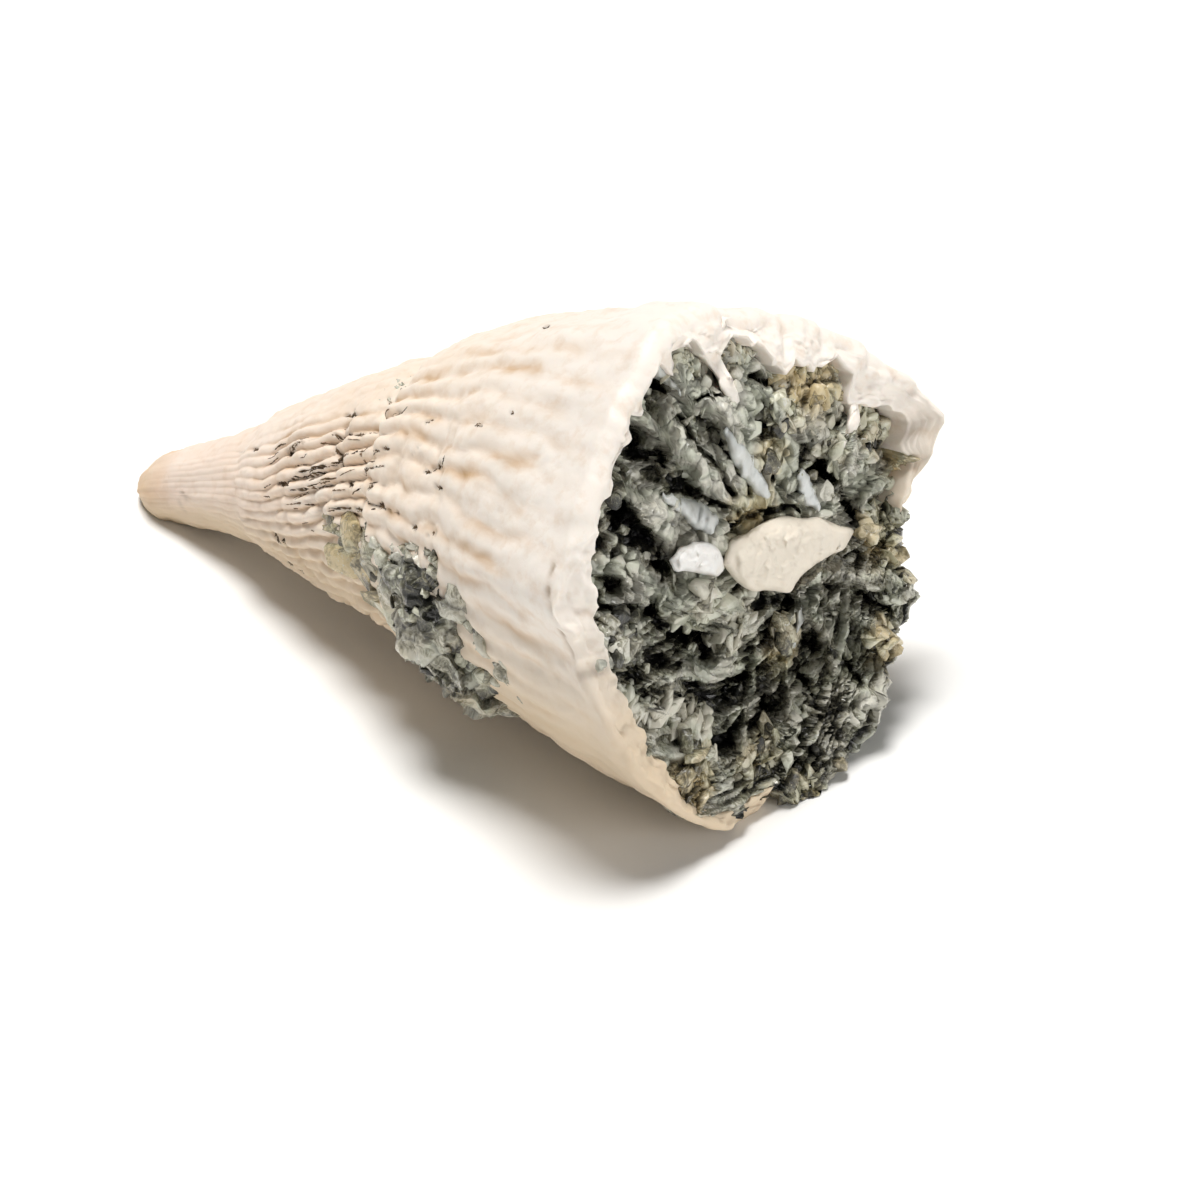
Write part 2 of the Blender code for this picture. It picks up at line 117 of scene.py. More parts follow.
def aroundRows(rows, angle, column):  # value at an angle, easing from row to row
    px = np.array([row[0] for row in rows], float)
    py = np.array([row[column] for row in rows], float)
    angle = np.mod(angle, 360.0)
    i = np.clip(np.searchsorted(px, angle, side="right") - 1, 0, len(px) - 2)
    u = softStep(angle, px[i], px[i + 1])
    return py[i] * (1 - u) + py[i + 1] * u


def turnBetween(a, b):
    return np.abs(np.mod(a - b + 180.0, 360.0) - 180.0)


def stretch(angle, start, end, soft=12.0):  # 1 inside a stretch of the circle, easing to 0
    middle, half = (start + end) / 2, (end - start) / 2
    if half >= 180.0:
        return np.ones_like(angle)
    return 1.0 - softStep(turnBetween(angle, middle), half - soft, half + soft)


climb = math.radians(hornForm["climb"])
axisWay = np.array((math.cos(climb), 0.0, math.sin(climb)))
sectionUp = np.array((-math.sin(climb), 0.0, math.cos(climb)))
sectionSide = np.array((0.0, -1.0, 0.0))


def axisPoint(along):
    along = np.asarray(along, float)
    share = np.clip(along / hornForm["length"], 0.0, 1.0)
    bow = share * (1 - share)
    lift = 4 * hornForm["arch"] * bow + 6 * hornForm["archLean"] * bow * (1 - 2 * share)
    return np.array(hornForm["tip"]) + axisWay * along[..., None] + sectionUp * lift[..., None]


def outward(angle):
    turn = np.radians(angle)
    return sectionUp * np.cos(turn)[..., None] + sectionSide * np.sin(turn)[..., None]


def faceAngle(side, up):
    return np.degrees(np.arctan2(-side, up))


def facePoint(side, up, along):  # a place on the broken face: side runs towards +Y
    return (axisPoint(along) - sectionSide * np.asarray(side)[..., None]
            + sectionUp * np.asarray(up)[..., None])


# Noise that gives the same values on every run
def latticeValue(x, y, z, seed):
    n = (x * 73856093) ^ (y * 19349663) ^ (z * 83492791) ^ (seed * 62089911 + 1013904223)
    n = (n ^ (n >> 13)) * 1274126177
    n = (n ^ (n >> 16)) * 668265263
    return ((n ^ (n >> 15)) & 0xffff) / 32767.5 - 1.0


def softNoise(points, seed):
    low = np.floor(points).astype(np.int64)
    part = points - low
    part = part * part * part * (part * (part * 6 - 15) + 10)
    total = 0.0
    for dx in (0, 1):
        wx = part[..., 0] if dx else 1 - part[..., 0]
        for dy in (0, 1):
            wy = part[..., 1] if dy else 1 - part[..., 1]
            for dz in (0, 1):
                wz = part[..., 2] if dz else 1 - part[..., 2]
                total = total + wx * wy * wz * latticeValue(
                    low[..., 0] + dx, low[..., 1] + dy, low[..., 2] + dz, seed)
    return total


def noiseLine(values):  # places on a line, for noise that changes in one direction
    return np.stack([values, values * 0, values * 0], -1)


def layeredNoise(points, octaves, seed):
    total = 0.0
    for layer in range(octaves):
        total = total + softNoise(points * 2.03**layer, seed + layer * 17) * 0.5**layer
    return total


def chipCells(points, seed):
    # nearest seeded point: its distance, the gap to the next one, its number, and the way from it
    low = np.floor(points).astype(np.int64)
    first = np.full(points.shape[:-1], 9.0)
    second = np.full(points.shape[:-1], 9.0)
    number = np.zeros(points.shape[:-1])
    away = np.zeros(points.shape)
    for dx in (-1, 0, 1):
        for dy in (-1, 0, 1):
            for dz in (-1, 0, 1):
                cx, cy, cz = low[..., 0] + dx, low[..., 1] + dy, low[..., 2] + dz
                place = np.stack([cx, cy, cz], -1) + 0.5 + 0.46 * np.stack(
                    [latticeValue(cx, cy, cz, seed + k) for k in (1, 2, 3)], -1)
                step = points - place
                far = np.sqrt((step**2).sum(-1))
                nearer = far < first
                second = np.where(nearer, first, np.minimum(second, far))
                first = np.where(nearer, far, first)
                number = np.where(nearer, latticeValue(cx, cy, cz, seed + 4), number)
                away = np.where(nearer[..., None], step, away)
    return first, second - first, number, away


def chipFacets(points, seed, tilt):
    # flat facets at different heights, each one tilted its own way
    _, gap, number, away = chipCells(points, seed)
    lean = np.stack([softNoise(np.stack([number * 37.7 + k * 11.3] * 3, -1), seed + k)
                     for k in (5, 6, 7)], -1)
    return number, (away * lean).sum(-1) * tilt, gap


def meshFrom(name, points, faces, values=None):
    mesh = bpy.data.meshes.new(name)
    mesh.from_pydata((np.asarray(points) * mm).tolist(), [], faces)
    for key, data in (values or {}).items():
        layer = mesh.attributes.new(key, "FLOAT", "POINT")
        layer.data.foreach_set("value", np.asarray(data, np.float32).ravel())
    mesh.polygons.foreach_set("use_smooth", [True] * len(mesh.polygons))
    mesh.update()
    piece = bpy.data.objects.new(name, mesh)
    scene.collection.objects.link(piece)
    return piece


def gridFaces(rows, columns):  # quads of a grid that closes around its columns
    row = np.arange(rows - 1)[:, None] * columns
    here = np.arange(columns)[None, :]
    after = (here + 1) % columns
    quads = np.stack([row + here, row + after, row + columns + after, row + columns + here], -1)
    return quads.reshape(-1, 4).tolist()


def fanFaces(ring, middle, flip):
    faces = []
    for i, corner in enumerate(ring):
        after = ring[(i + 1) % len(ring)]
        faces.append((after, corner, middle) if flip else (corner, after, middle))
    return faces


def closedGrid(rows, columns, turned=False):  # a grid with a fan over each end
    faces = gridFaces(rows, columns)
    if turned:
        faces = [face[::-1] for face in faces]
    faces += fanFaces(list(range(columns)), rows * columns, not turned)
    faces += fanFaces(list(range((rows - 1) * columns, rows * columns)), rows * columns + 1, turned)
    return faces


# Ribbed wall of the horn
wallLook = {
    "columns": 380,
    "rings": ((-0.5, 10.0, 38), (10.0, 27.0, 128), (27.0, 35.0, 46)),  # from, to, how many
    "ribs": 48,
    "ribHeight": 0.27,
    # distance along the axis, share of the rib height
    "ribStrength": ((-0.5, 0.0), (4.0, 0.05), (8.0, 0.12), (11.0, 0.35), (13.5, 0.85), (19.0, 1.15),
                    (21.5, 0.95), (26.0, 0.72), (30.0, 0.5), (33.0, 0.2), (35.0, 0.05)),
    # distance along the axis, how far the ribs have turned, in degrees
    "ribTurn": ((0.0, 20.0), (9.0, 19.0), (12.5, 16.0), (15.0, 10.0), (17.5, 3.5), (20.0, 0.5),
                (24.0, 0.6), (28.0, 3.0), (32.0, 6.0), (35.0, 8.0)),
    # place along the axis, drop before it, where it runs
    "growthSteps": ((17.0, 0.35, 20, 300), (19.9, 0.55, -70, 290), (25.4, 0.3, 36, 60),
                    (8.8, 0.2, -180, 180)),
    # cross grooves that part the ribs into beads: place, depth, where they run
    "beads": ((11.2, 0.08, 45, 150), (13.4, 0.15, 38, 150), (15.3, 0.12, 45, 150),
              (17.2, 0.26, 30, 160), (18.7, 0.13, 44, 120), (20.2, 0.26, 26, 170),
              (22.4, 0.13, 34, 160), (24.3, 0.10, 34, 120), (25.8, 0.18, 38, 84),
              (28.0, 0.07, 34, 110)),
    # thin dark marks: from place and angle, to place and angle, half width, darkness
    "marks": (
        (16.4, 28.5, 17.6, 31.5, 0.10, 1.0), (17.0, 27.0, 17.2, 28.8, 0.08, 0.8),
        (8.2, 35.0, 9.3, 42.0, 0.05, 0.5), (10.1, 42.0, 10.6, 43.5, 0.08, 0.7),
        (13.5, 48.8, 13.7, 49.6, 0.12, 1.0), (13.7, 47.5, 14.4, 43.5, 0.05, 0.8),
        (14.5, 44.5, 15.5, 41.5, 0.04, 0.5), (13.0, 38.0, 13.4, 38.5, 0.05, 0.5),
        (16.4, 40.0, 17.4, 41.8, 0.08, 0.9), (17.4, 40.0, 18.0, 41.8, 0.07, 0.8),
        (18.2, 41.5, 18.8, 41.3, 0.08, 0.9), (19.0, 40.6, 19.6, 40.0, 0.04, 0.6),
        (20.1, 37.5, 20.7, 38.6, 0.10, 1.0), (20.7, 38.6, 21.6, 36.0, 0.05, 0.7),
        (20.5, 27.5, 20.9, 23.8, 0.07, 0.8), (20.2, 25.5, 20.6, 27.5, 0.06, 0.7),
        (19.2, 24.0, 19.9, 29.5, 0.06, 0.8), (19.6, 32.2, 20.4, 32.6, 0.05, 0.8),
        (20.0, 45.6, 20.4, 45.0, 0.05, 0.8), (20.4, 50.8, 21.2, 49.8, 0.05, 0.8),
        (21.5, 49.2, 21.9, 49.4, 0.06, 0.8), (16.8, 47.0, 17.2, 49.2, 0.08, 0.8),
        (17.3, 50.0, 17.8, 54.5, 0.20, 0.75), (17.5, 55.0, 18.2, 50.5, 0.13, 0.8),
        (18.1, 51.5, 20.0, 45.8, 0.04, 0.6), (19.0, 48.0, 19.3, 54.0, 0.05, 0.6),
        (14.6, 59.5, 17.3, 54.8, 0.05, 0.7), (13.9, 63.5, 16.6, 58.3, 0.06, 0.8),
        (13.1, 66.2, 13.9, 65.8, 0.10, 1.0), (14.2, 69.0, 17.0, 64.5, 0.05, 0.6),
        (17.0, 64.5, 19.6, 58.6, 0.04, 0.5), (19.6, 58.5, 20.4, 56.2, 0.06, 0.8),
        (20.4, 56.2, 22.0, 55.2, 0.04, 0.6), (18.5, 62.0, 18.9, 63.0, 0.09, 0.9),
        (19.6, 63.2, 20.1, 64.5, 0.06, 0.8), (20.0, 66.0, 20.5, 67.4, 0.08, 0.9),
        (20.5, 67.4, 23.4, 68.4, 0.04, 0.6), (20.9, 62.6, 21.3, 62.3, 0.12, 1.0),
        (21.9, 67.6, 22.3, 67.4, 0.11, 1.0), (23.7, 50.5, 24.0, 48.0, 0.04, 0.5),
        (23.9, 40.6, 24.3, 39.4, 0.06, 0.9), (24.7, 55.0, 25.2, 55.4, 0.06, 0.8),
        (25.2, 54.2, 25.8, 52.8, 0.10, 1.0), (26.0, 54.0, 26.1, 50.0, 0.04, 0.6),
        (27.4, 41.4, 27.9, 41.8, 0.07, 0.9), (27.5, 6.8, 27.8, 8.6, 0.12, 1.0),
        (21.4, -37.2, 22.0, -34.4, 0.11, 0.9), (29.4, 38.0, 29.6, 38.0, 0.05, 0.8),
        (25.8, 58.6, 26.3, 59.0, 0.08, 0.6), (24.6, 70.8, 24.9, 71.0, 0.08, 0.8),
        (25.8, 71.5, 26.3, 70.5, 0.05, 0.7), (20.1, 72.0, 20.8, 74.0, 0.15, 0.9),
        (19.4, 71.6, 20.1, 72.0, 0.08, 0.8), (34.6, 95.6, 35.2, 96.4, 0.06, 0.8),
        (17.6, 73.5, 19.0, 71.8, 0.05, 0.6), (18.0, 79.8, 20.4, 78.4, 0.06, 0.7),
        (14.6, 75.5, 16.8, 70.5, 0.04, 0.4), (15.0, 80.0, 17.4, 74.5, 0.04, 0.4),
        (4.4, 80.0, 4.7, 86.0, 0.13, 0.55), (4.1, 90.0, 4.1, 108.0, 0.10, 0.4),
        (11.9, 99.0, 12.6, 103.0, 0.10, 0.6), (9.2, 97.0, 10.6, 93.0, 0.05, 0.4),
        (34.4, 2.0, 34.9, 5.5, 0.05, 0.8), (34.9, 5.5, 35.6, 8.0, 0.05, 0.7),
        (32.2, -3.0, 33.2, -1.8, 0.03, 0.4), (34.9, 71.0, 34.2, 76.0, 0.04, 0.5)),
    "strayHoles": 40,
    "marksEnd": 30.5,
    "hairMarks": 55,
    "hairLean": -2.2,  # degrees per mm
    "markSteps": 14,  # pieces that each mark is bent from
    # the fold where the rim was chipped to a facet: place along the axis, first and last angle
    "fold": (34.15, 67.0, 89.0),
}


def growthDrop(along, angle):
    drop = 0.0
    spot = noiseLine(angle * 0.11)
    for number, (place, depth, start, end) in enumerate(wallLook["growthSteps"]):
        before = place + 0.3 * softNoise(spot, 40 + number) - along
        sink = softStep(before, -0.9, 0.1) * np.clip(1 - before / 3.0, 0.0, 1.0)
        drop = drop + depth * sink * stretch(angle, start, end)
    return drop


def hornRadius(along, angle):
    radius = alongCurve(hornForm["profile"], along)
    rimShare = aroundRows(hornForm["rim"], angle, 1) / hornForm["profile"][-2][1]
    radius = radius * (1 + (rimShare - 1) * softStep(along, 22.0, 35.0))
    around = np.maximum(0.0, 1 - turnBetween(angle, 130.0) / 60.0)
    belly = 0.35 * softStep(along, 11.0, 16.5) * (1 - softStep(along, 20.0, 26.0)) * around
    return radius + belly - growthDrop(along, angle)


def wallSpot(along, angle, lift):  # one place that much above the wall, and the way out there
    out = outward(np.array(angle))
    wall = float(hornRadius(np.array(along), np.array(angle)))
    return axisPoint(along) + out * (wall + lift), out


def markField(along, angle, radius):
    # how dark the thin marks leave each place
    dark = np.zeros_like(along)
    spot = np.stack([along * 5.0, angle * 0.6, along * 0], -1)
    wobble = 0.05 * softNoise(spot, 5)
    for placeA, turnA, placeB, turnB, half, darkness in markRows():
        near = np.abs(along - (placeA + placeB) / 2) < abs(placeA - placeB) / 2 + 0.8
        x = along[near]
        y = np.radians(np.mod(angle[near] - turnA + 180.0, 360.0) - 180.0) * radius[near]
        endX = placeB - placeA
        endY = np.radians(turnB - turnA) * radius[near]
        span = np.maximum(endX**2 + endY**2, 1e-4)
        share = np.clip(((x - placeA) * endX + y * endY) / span, 0.0, 1.0)
        away = np.hypot(x - placeA - share * endX, y - share * endY) + wobble[near]
        dark[near] = np.maximum(dark[near], darkness * np.exp(-np.abs(away / half) ** 3))
    return dark


def wallRelief(along, angle):
    # height of the ribs and marks over the plain horn, where its stains lie, and where shade is
    # painted into its bead grooves and fold line
    ribs = wallLook["ribs"]
    unit = outward(angle)
    body = np.stack([along * 0.33, unit[..., 1] * 2.2, unit[..., 2] * 2.2], -1)
    radius = hornRadius(along, angle)
    spot = axisPoint(along) + unit * radius[..., None]
    signed = np.mod(angle + 180.0, 360.0) - 180.0
    turned = (angle - alongCurve(wallLook["ribTurn"], along)) * ribs / 360.0
    turned = turned + 0.22 * softNoise(spot * 0.5, 3) + 0.1 * softNoise(spot * 1.3, 4)
    rib = np.mod(np.floor(turned), ribs).astype(np.int64)
    crest = np.sin(math.pi * turned) ** 2
    strength = alongCurve(wallLook["ribStrength"], along)
    begins = 38.0 - 16.0 * softStep(along, 19.0, 22.0)  # the worn top has no ribs
    worn = softStep(signed, begins - 16.0, begins + 8.0) * (signed > 0)
    worn = worn + (signed <= 0) * (1 - softStep(signed, -130.0, -85.0))
    strength = strength * (0.12 + 0.88 * worn) * (1.0 + 0.4 * softNoise(spot * 0.8, 9))
    soft = softStep(along, 19.0, 23.0)
    shape = crest ** (0.45 + 0.3 * soft)
    relief = wallLook["ribHeight"] * strength * (shape - 0.7) * (1 - 0.25 * soft)
    streak = softStep(softNoise(spot * (0.42, 1.3, 1.3), 12), -0.35, 0.25)
    furrow = np.clip(1 - shape * (1.3 - 0.35 * soft), 0, 1) * np.clip(strength * 1.6, 0, 1)
    furrow = furrow * (1 - 0.65 * soft * (1 - streak))

    # painted shade: dark brown goes into the bead grooves and along the fold line, as strong as
    # each groove is deep
    grooveShade = np.zeros_like(along)
    for number, (place, depth, start, end) in enumerate(wallLook["beads"]):
        shift = latticeValue(rib, rib * 0 + number, rib * 0, 21)
        size = 0.7 + 0.5 * latticeValue(rib, rib * 0 + number, rib * 0, 22)
        here = along - place - 0.7 * shift - 0.3 * softNoise(spot * 0.9, 60 + number)
        fade = stretch(angle, start, end, 8.0) * size
        groove = np.exp(-(here / 0.2) ** 2) * fade
        relief = relief - depth * groove * (0.5 + 0.5 * crest)
        relief = relief + depth * 0.35 * np.exp(-((np.abs(here) - 0.65) / 0.45) ** 2) * fade
        grooveShade = np.maximum(grooveShade, groove * depth * 2.0)

    marks = markField(along, angle, radius)
    relief = relief - 0.12 * marks
    dark = 0.45 * marks
    place, start, end = wallLook["fold"]
    here = along - place - 0.12 * softNoise(spot * 1.2, 51)
    inFold = stretch(angle, start, end, 2.5)
    relief = relief - 0.12 * np.exp(-(here / 0.07) ** 2) * inFold
    relief = relief - 0.22 * softStep(here, 0.0, 0.5) * inFold
    grooveShade = np.maximum(grooveShade, 1.6 * np.exp(-(here / 0.06) ** 2) * inFold)

    relief = relief + 0.13 * softNoise(body * 1.3, 7) + 0.07 * layeredNoise(spot * 0.9, 3, 13)
    grain = 0.03 - 0.014 * softStep(along, 26.0, 33.0) - 0.01 * (1 - softStep(along, 5.0, 11.0))
    relief = relief + grain * layeredNoise(spot * 3.0, 2, 19)
    return relief, furrow, dark, grooveShade


def markRows():  # the listed marks and the stray ones round the back
    draw = np.random.default_rng(11)
    rows = list(wallLook["marks"])
    for _ in range(wallLook["strayHoles"]):
        place, turn = draw.uniform(11, 30), draw.uniform(95, 345)
        rows.append((place, turn, place + draw.uniform(0, 0.8), turn + draw.normal() * 3,
                     draw.uniform(0.05, 0.12), draw.uniform(0.4, 0.9)))
    return rows


def buildMarks():
    # each mark is a thin sliver that lies in the wall's surface, with its edges sunk
    draw = np.random.default_rng(13)
    rows = []
    for placeA, turnA, placeB, turnB, half, darkness in markRows():
        if darkness > 0.55 and placeB < wallLook["marksEnd"]:
            rows.append((placeA, turnA, placeB, turnB, 0.75 * half))
    for _ in range(wallLook["hairMarks"]):
        place, turn = draw.uniform(11.5, 21.5), draw.uniform(36.0, 88.0)
        long = draw.uniform(0.2, 1.1)
        lean = wallLook["hairLean"] + draw.normal() * 1.2
        rows.append((place, turn, place + long, turn + lean * long, draw.uniform(0.012, 0.026)))
    across, steps = np.array((-1.6, -1.0, 0.0, 1.0, 1.6)), wallLook["markSteps"]
    alongs, angles, depths, faces, start = [], [], [], [], 0
    for placeA, turnA, placeB, turnB, half in rows:
        share = np.linspace(0, 1, steps)
        widths = half * np.sqrt(np.clip(1 - (2 * share - 1) ** 2, 0.02, 1))
        widths = widths * (1 + 0.5 * draw.normal(size=steps)).clip(0.3, 2.0)
        middle = placeA + (placeB - placeA) * share + draw.normal(size=steps) * 0.35 * half
        radius = hornRadius(np.array((placeA + placeB) / 2), np.array((turnA + turnB) / 2))
        perMm = 57.3 / float(radius)
        turn = turnA + (turnB - turnA) * share + draw.normal(size=steps) * 0.35 * half * perMm
        wayX, wayY = placeB - placeA, (turnB - turnA) / perMm
        size = max(math.hypot(wayX, wayY), 0.05)
        alongs.append(middle[:, None] - wayY / size * widths[:, None] * across)
        angles.append(turn[:, None] + wayX / size * widths[:, None] * across * perMm)
        depths.append(np.repeat([[-0.07, 0.012, 0.02, 0.012, -0.07]], steps, 0))
        for i in range(steps - 1):
            for j in range(4):
                corner = start + i * 5 + j
                faces.append((corner, corner + 5, corner + 6, corner + 1))
        start += steps * 5
    along, angle = np.concatenate(alongs), np.concatenate(angles)
    radius = hornRadius(along, angle) + wallRelief(along, angle)[0] + np.concatenate(depths)
    points = (axisPoint(along) + outward(angle) * radius[..., None]).reshape(-1, 3)
    under = alongCurve(underside, along).ravel()
    points[:, 2] = np.maximum(points[:, 2], under)
    return meshFrom("wallMarks", points, faces)


def wallGrid():
    # columns stand closer where the ribs are seen, rings closer where the beads are
    angles = np.linspace(-180, 180, 2881)
    density = 1 + 1.0 * stretch(angles, -50.0, 155.0, 30.0)
    total = np.concatenate([[0], np.cumsum((density[1:] + density[:-1]) / 2)])
    wanted = np.arange(wallLook["columns"]) / wallLook["columns"] * total[-1]
    columns = np.interp(wanted, total, angles)
    rings = [np.linspace(*part)[:-1] for part in wallLook["rings"]]
    return np.concatenate(rings + [[hornForm["length"]]]), columns


def edgeRound(angle):  # how worn the outer edge of the rim is
    sharp = stretch(angle, 64.0, 90.0, 4.0)
    broken = stretch(angle, 95.0, 300.0, 12.0)
    return 0.62 - 0.54 * sharp - 0.36 * broken


def rimTop(angle):  # where the rim's outer edge ends along the axis
    ragged = 0.1 * softNoise(noiseLine(angle * 0.35), 31)
    return hornForm["length"] + aroundRows(hornForm["rim"], angle, 2) + ragged


def insideRadius(angle):
    ragged = 0.22 * softNoise(noiseLine(angle * 0.16), 33)
    ragged = ragged + 0.14 * softNoise(noiseLine(angle * 0.45), 34)
    return aroundRows(hornForm["inside"], angle, 1) + ragged


def buildWall():
    rings, columns = wallGrid()
    along = np.repeat(rings[:, None], len(columns), 1)
    angle = np.repeat(columns[None, :], len(rings), 0)
    edge = edgeRound(columns)
    top = rimTop(columns)
    along = along + (top - edge - hornForm["length"])[None, :] * softStep(along, 31.0, 35.0)
    relief, furrow, dark, grooveShade = wallRelief(along, angle)
    radius = hornRadius(along, angle) + relief
    points = [axisPoint(along) + outward(angle) * radius[..., None]]
    # painted shade: the wall turns a darker tan as it turns underneath, standing in for the shade
    # on the side facing the table
    under = softStep(turnBetween(angle, 180.0), 104.0, 60.0)
    values = {"furrow": [furrow], "dark": [dark], "grooveShade": [grooveShade], "along": [along],
              "under": [under]}

    outer = radius[-1]
    inner = np.minimum(insideRadius(columns), outer - edge - 0.25)
    loops = []
    for turn in np.radians((15, 30, 45, 60, 75, 90)):  # worn outer edge
        loops.append((outer - edge * (1 - math.cos(turn)), top - edge + edge * math.sin(turn)))
    innerTop = np.full_like(top, hornForm["length"] + 0.05)
    innerTop = np.where(top < hornForm["length"] - 0.8, top + 0.1, innerTop)
    for share in np.linspace(0, 1, 26)[1:]:
        loops.append(((outer - edge) * (1 - share) + inner * share,
                      top * (1 - share) + innerTop * share))
    for turn in np.radians((30, 60, 90)):  # edge towards the calice
        loops.append((inner - 0.12 * math.sin(turn), innerTop - 0.12 * (1 - math.cos(turn))))
    for share in np.linspace(0, 1, 9)[1:]:
        loops.append((inner - 0.12 - 0.3 * share,
                      (innerTop - 0.12) * (1 - share) + bowlFloor * share))
    rimRadius = np.array([loop[0] for loop in loops])
    rimAlong = np.array([loop[1] for loop in loops])
    rimAngle = np.repeat(columns[None, :], len(loops), 0)
    spot = axisPoint(rimAlong) + outward(rimAngle) * rimRadius[..., None]
    across = np.linspace(0, 1, len(loops))[:, None]
    rough = softStep(across, 0.02, 0.2) * (1 - softStep(across, 0.8, 0.95))
    number, facet, _ = chipFacets(spot * 1.15, 71, 0.5)
    chips = (0.13 * facet + 0.07 * number + 0.14 * layeredNoise(spot * 1.5, 3, 72)) * rough
    points.append(spot + axisWay * chips[..., None])
    for key in ("furrow", "dark", "grooveShade"):
        values[key].append(np.zeros_like(rimAlong))
    values["along"].append(rimAlong + across * 3.0)
    # the same painted shade for the underside of the rim
    values["under"].append(softStep(turnBetween(rimAngle, 180.0), 110.0, 60.0))

    allPoints = np.concatenate(points)
    under = alongCurve(underside, np.concatenate(values["along"]))
    allPoints[..., 2] = np.maximum(allPoints[..., 2], under)  # worn flat where it lies
    rows, count = allPoints.shape[:2]
    flat = allPoints.reshape(-1, 3)
    flat = np.concatenate([flat, [axisPoint(-0.7)], [axisPoint(bowlFloor)]])
    faces = closedGrid(rows, count)
    data = {key: np.concatenate([np.concatenate(layers).ravel(), [0, 0]])
            for key, layers in values.items()}
    return meshFrom("hornWall", flat, faces, data)


# Septa: pale blades on the broken face
# a blade is a run of (side, up, half width), how far it stands over the face, and how white it is
septaLook = {
    "blades": (
        (((-3.2, 9.6, 0.4), (-2.9, 9.0, 0.34), (-2.6, 8.3, 0.26), (-2.3, 7.8, 0.12)), 0.2, 0.7),
        (((-0.4, 5.6, 0.2), (0.1, 4.5, 0.46), (0.6, 3.5, 0.58), (1.0, 2.7, 0.42),
          (1.35, 2.1, 0.16)), 0.35, 0.95),
        (((-4.5, 4.5, 0.2), (-3.6, 3.8, 0.36), (-2.8, 3.05, 0.56), (-2.1, 2.4, 0.46),
          (-1.5, 1.9, 0.18)), 0.35, 0.85),
        (((3.3, 2.3, 0.24), (3.5, 1.6, 0.48), (3.8, 0.9, 0.44), (4.1, 0.45, 0.2)), 0.35, 0.9),
        (((1.9, -2.8, 0.16), (1.8, -3.4, 0.3), (1.4, -4.0, 0.24), (1.0, -4.5, 0.1)), 0.25, 0.6),
    ),
    "steps": 34,
    "sides": 12,
    "root": 1.4,
    # pale tongues of the wall between the chambers at the top
    "tongues": (
        {"outline": ((-2.2, 10.3), (-1.2, 9.2), (-0.55, 8.5), (-0.25, 7.7), (-0.1, 7.0),
                     (0.35, 6.3), (0.75, 6.3), (0.6, 7.1), (0.45, 7.9), (0.65, 8.7),
                     (1.2, 9.3), (1.8, 10.0)),
         "middle": (0.05, 8.6)},
        {"outline": ((9.9, 5.3), (8.7, 5.1), (7.8, 4.7), (7.2, 3.7), (6.4, 2.8), (5.8, 2.0),
                     (6.3, 2.0), (7.2, 2.7), (7.9, 3.4), (8.8, 4.0), (10.0, 4.1)),
         "middle": (8.3, 4.3)}),
    "tongueHeight": 0.3, "tongueRoot": 1.2, "tongueColumns": 90, "tongueRings": 26,
}


def faceHeight(side, up):
    # where the broken fill lies along the axis
    radius = np.hypot(side, up)
    angle = faceAngle(side, up)
    share = np.clip(radius / 9.2, 0.0, 1.0)
    below = softStep(180.0 - turnBetween(angle, 178.0), 70.0, 170.0) * np.sin(math.pi * share)
    lip = (1 - softStep(turnBetween(angle, 195.0), 20.0, 45.0)) * softStep(share, 0.6, 0.85)
    spot = np.stack([side, up, side * 0], -1)
    lumps = 0.42 * (softNoise(spot * 0.45, 81) + 0.5 * softNoise(spot * 1.0, 82))
    return hornForm["length"] - 0.25 + lumps - 1.1 * below + 0.8 * lip


faceSlant = (-0.9957, 0.544)  # hollows and lumps lean this way, per mm of height


def leanPoint(side, up, along):  # a place on the broken face, leaning with its height
    angle = faceAngle(side, up)
    share = np.hypot(side, up) / fillRadius(angle)[0]
    lean = (along - hornForm["length"]) * (1 - softStep(share, 0.84, 0.98))
    return facePoint(side + faceSlant[0] * lean, up + faceSlant[1] * lean, along)


def smoothRun(points, steps):  # evenly spaced places on a curve through a blade's points
    points = np.array(points, float)
    far = np.concatenate([[0], np.cumsum(np.hypot(*np.diff(points[:, :2], axis=0).T))])
    at = np.linspace(0, far[-1], steps)
    return np.stack([alongCurve(list(zip(far, points[:, k])), at) for k in range(3)], -1)


def keepInside(side, up):  # pulls what would cut through the wall back into it
    radius = np.maximum(np.hypot(side, up), 0.01)
    reach = insideRadius(faceAngle(side, up)) + 0.3
    return np.minimum(1.0, reach / radius)


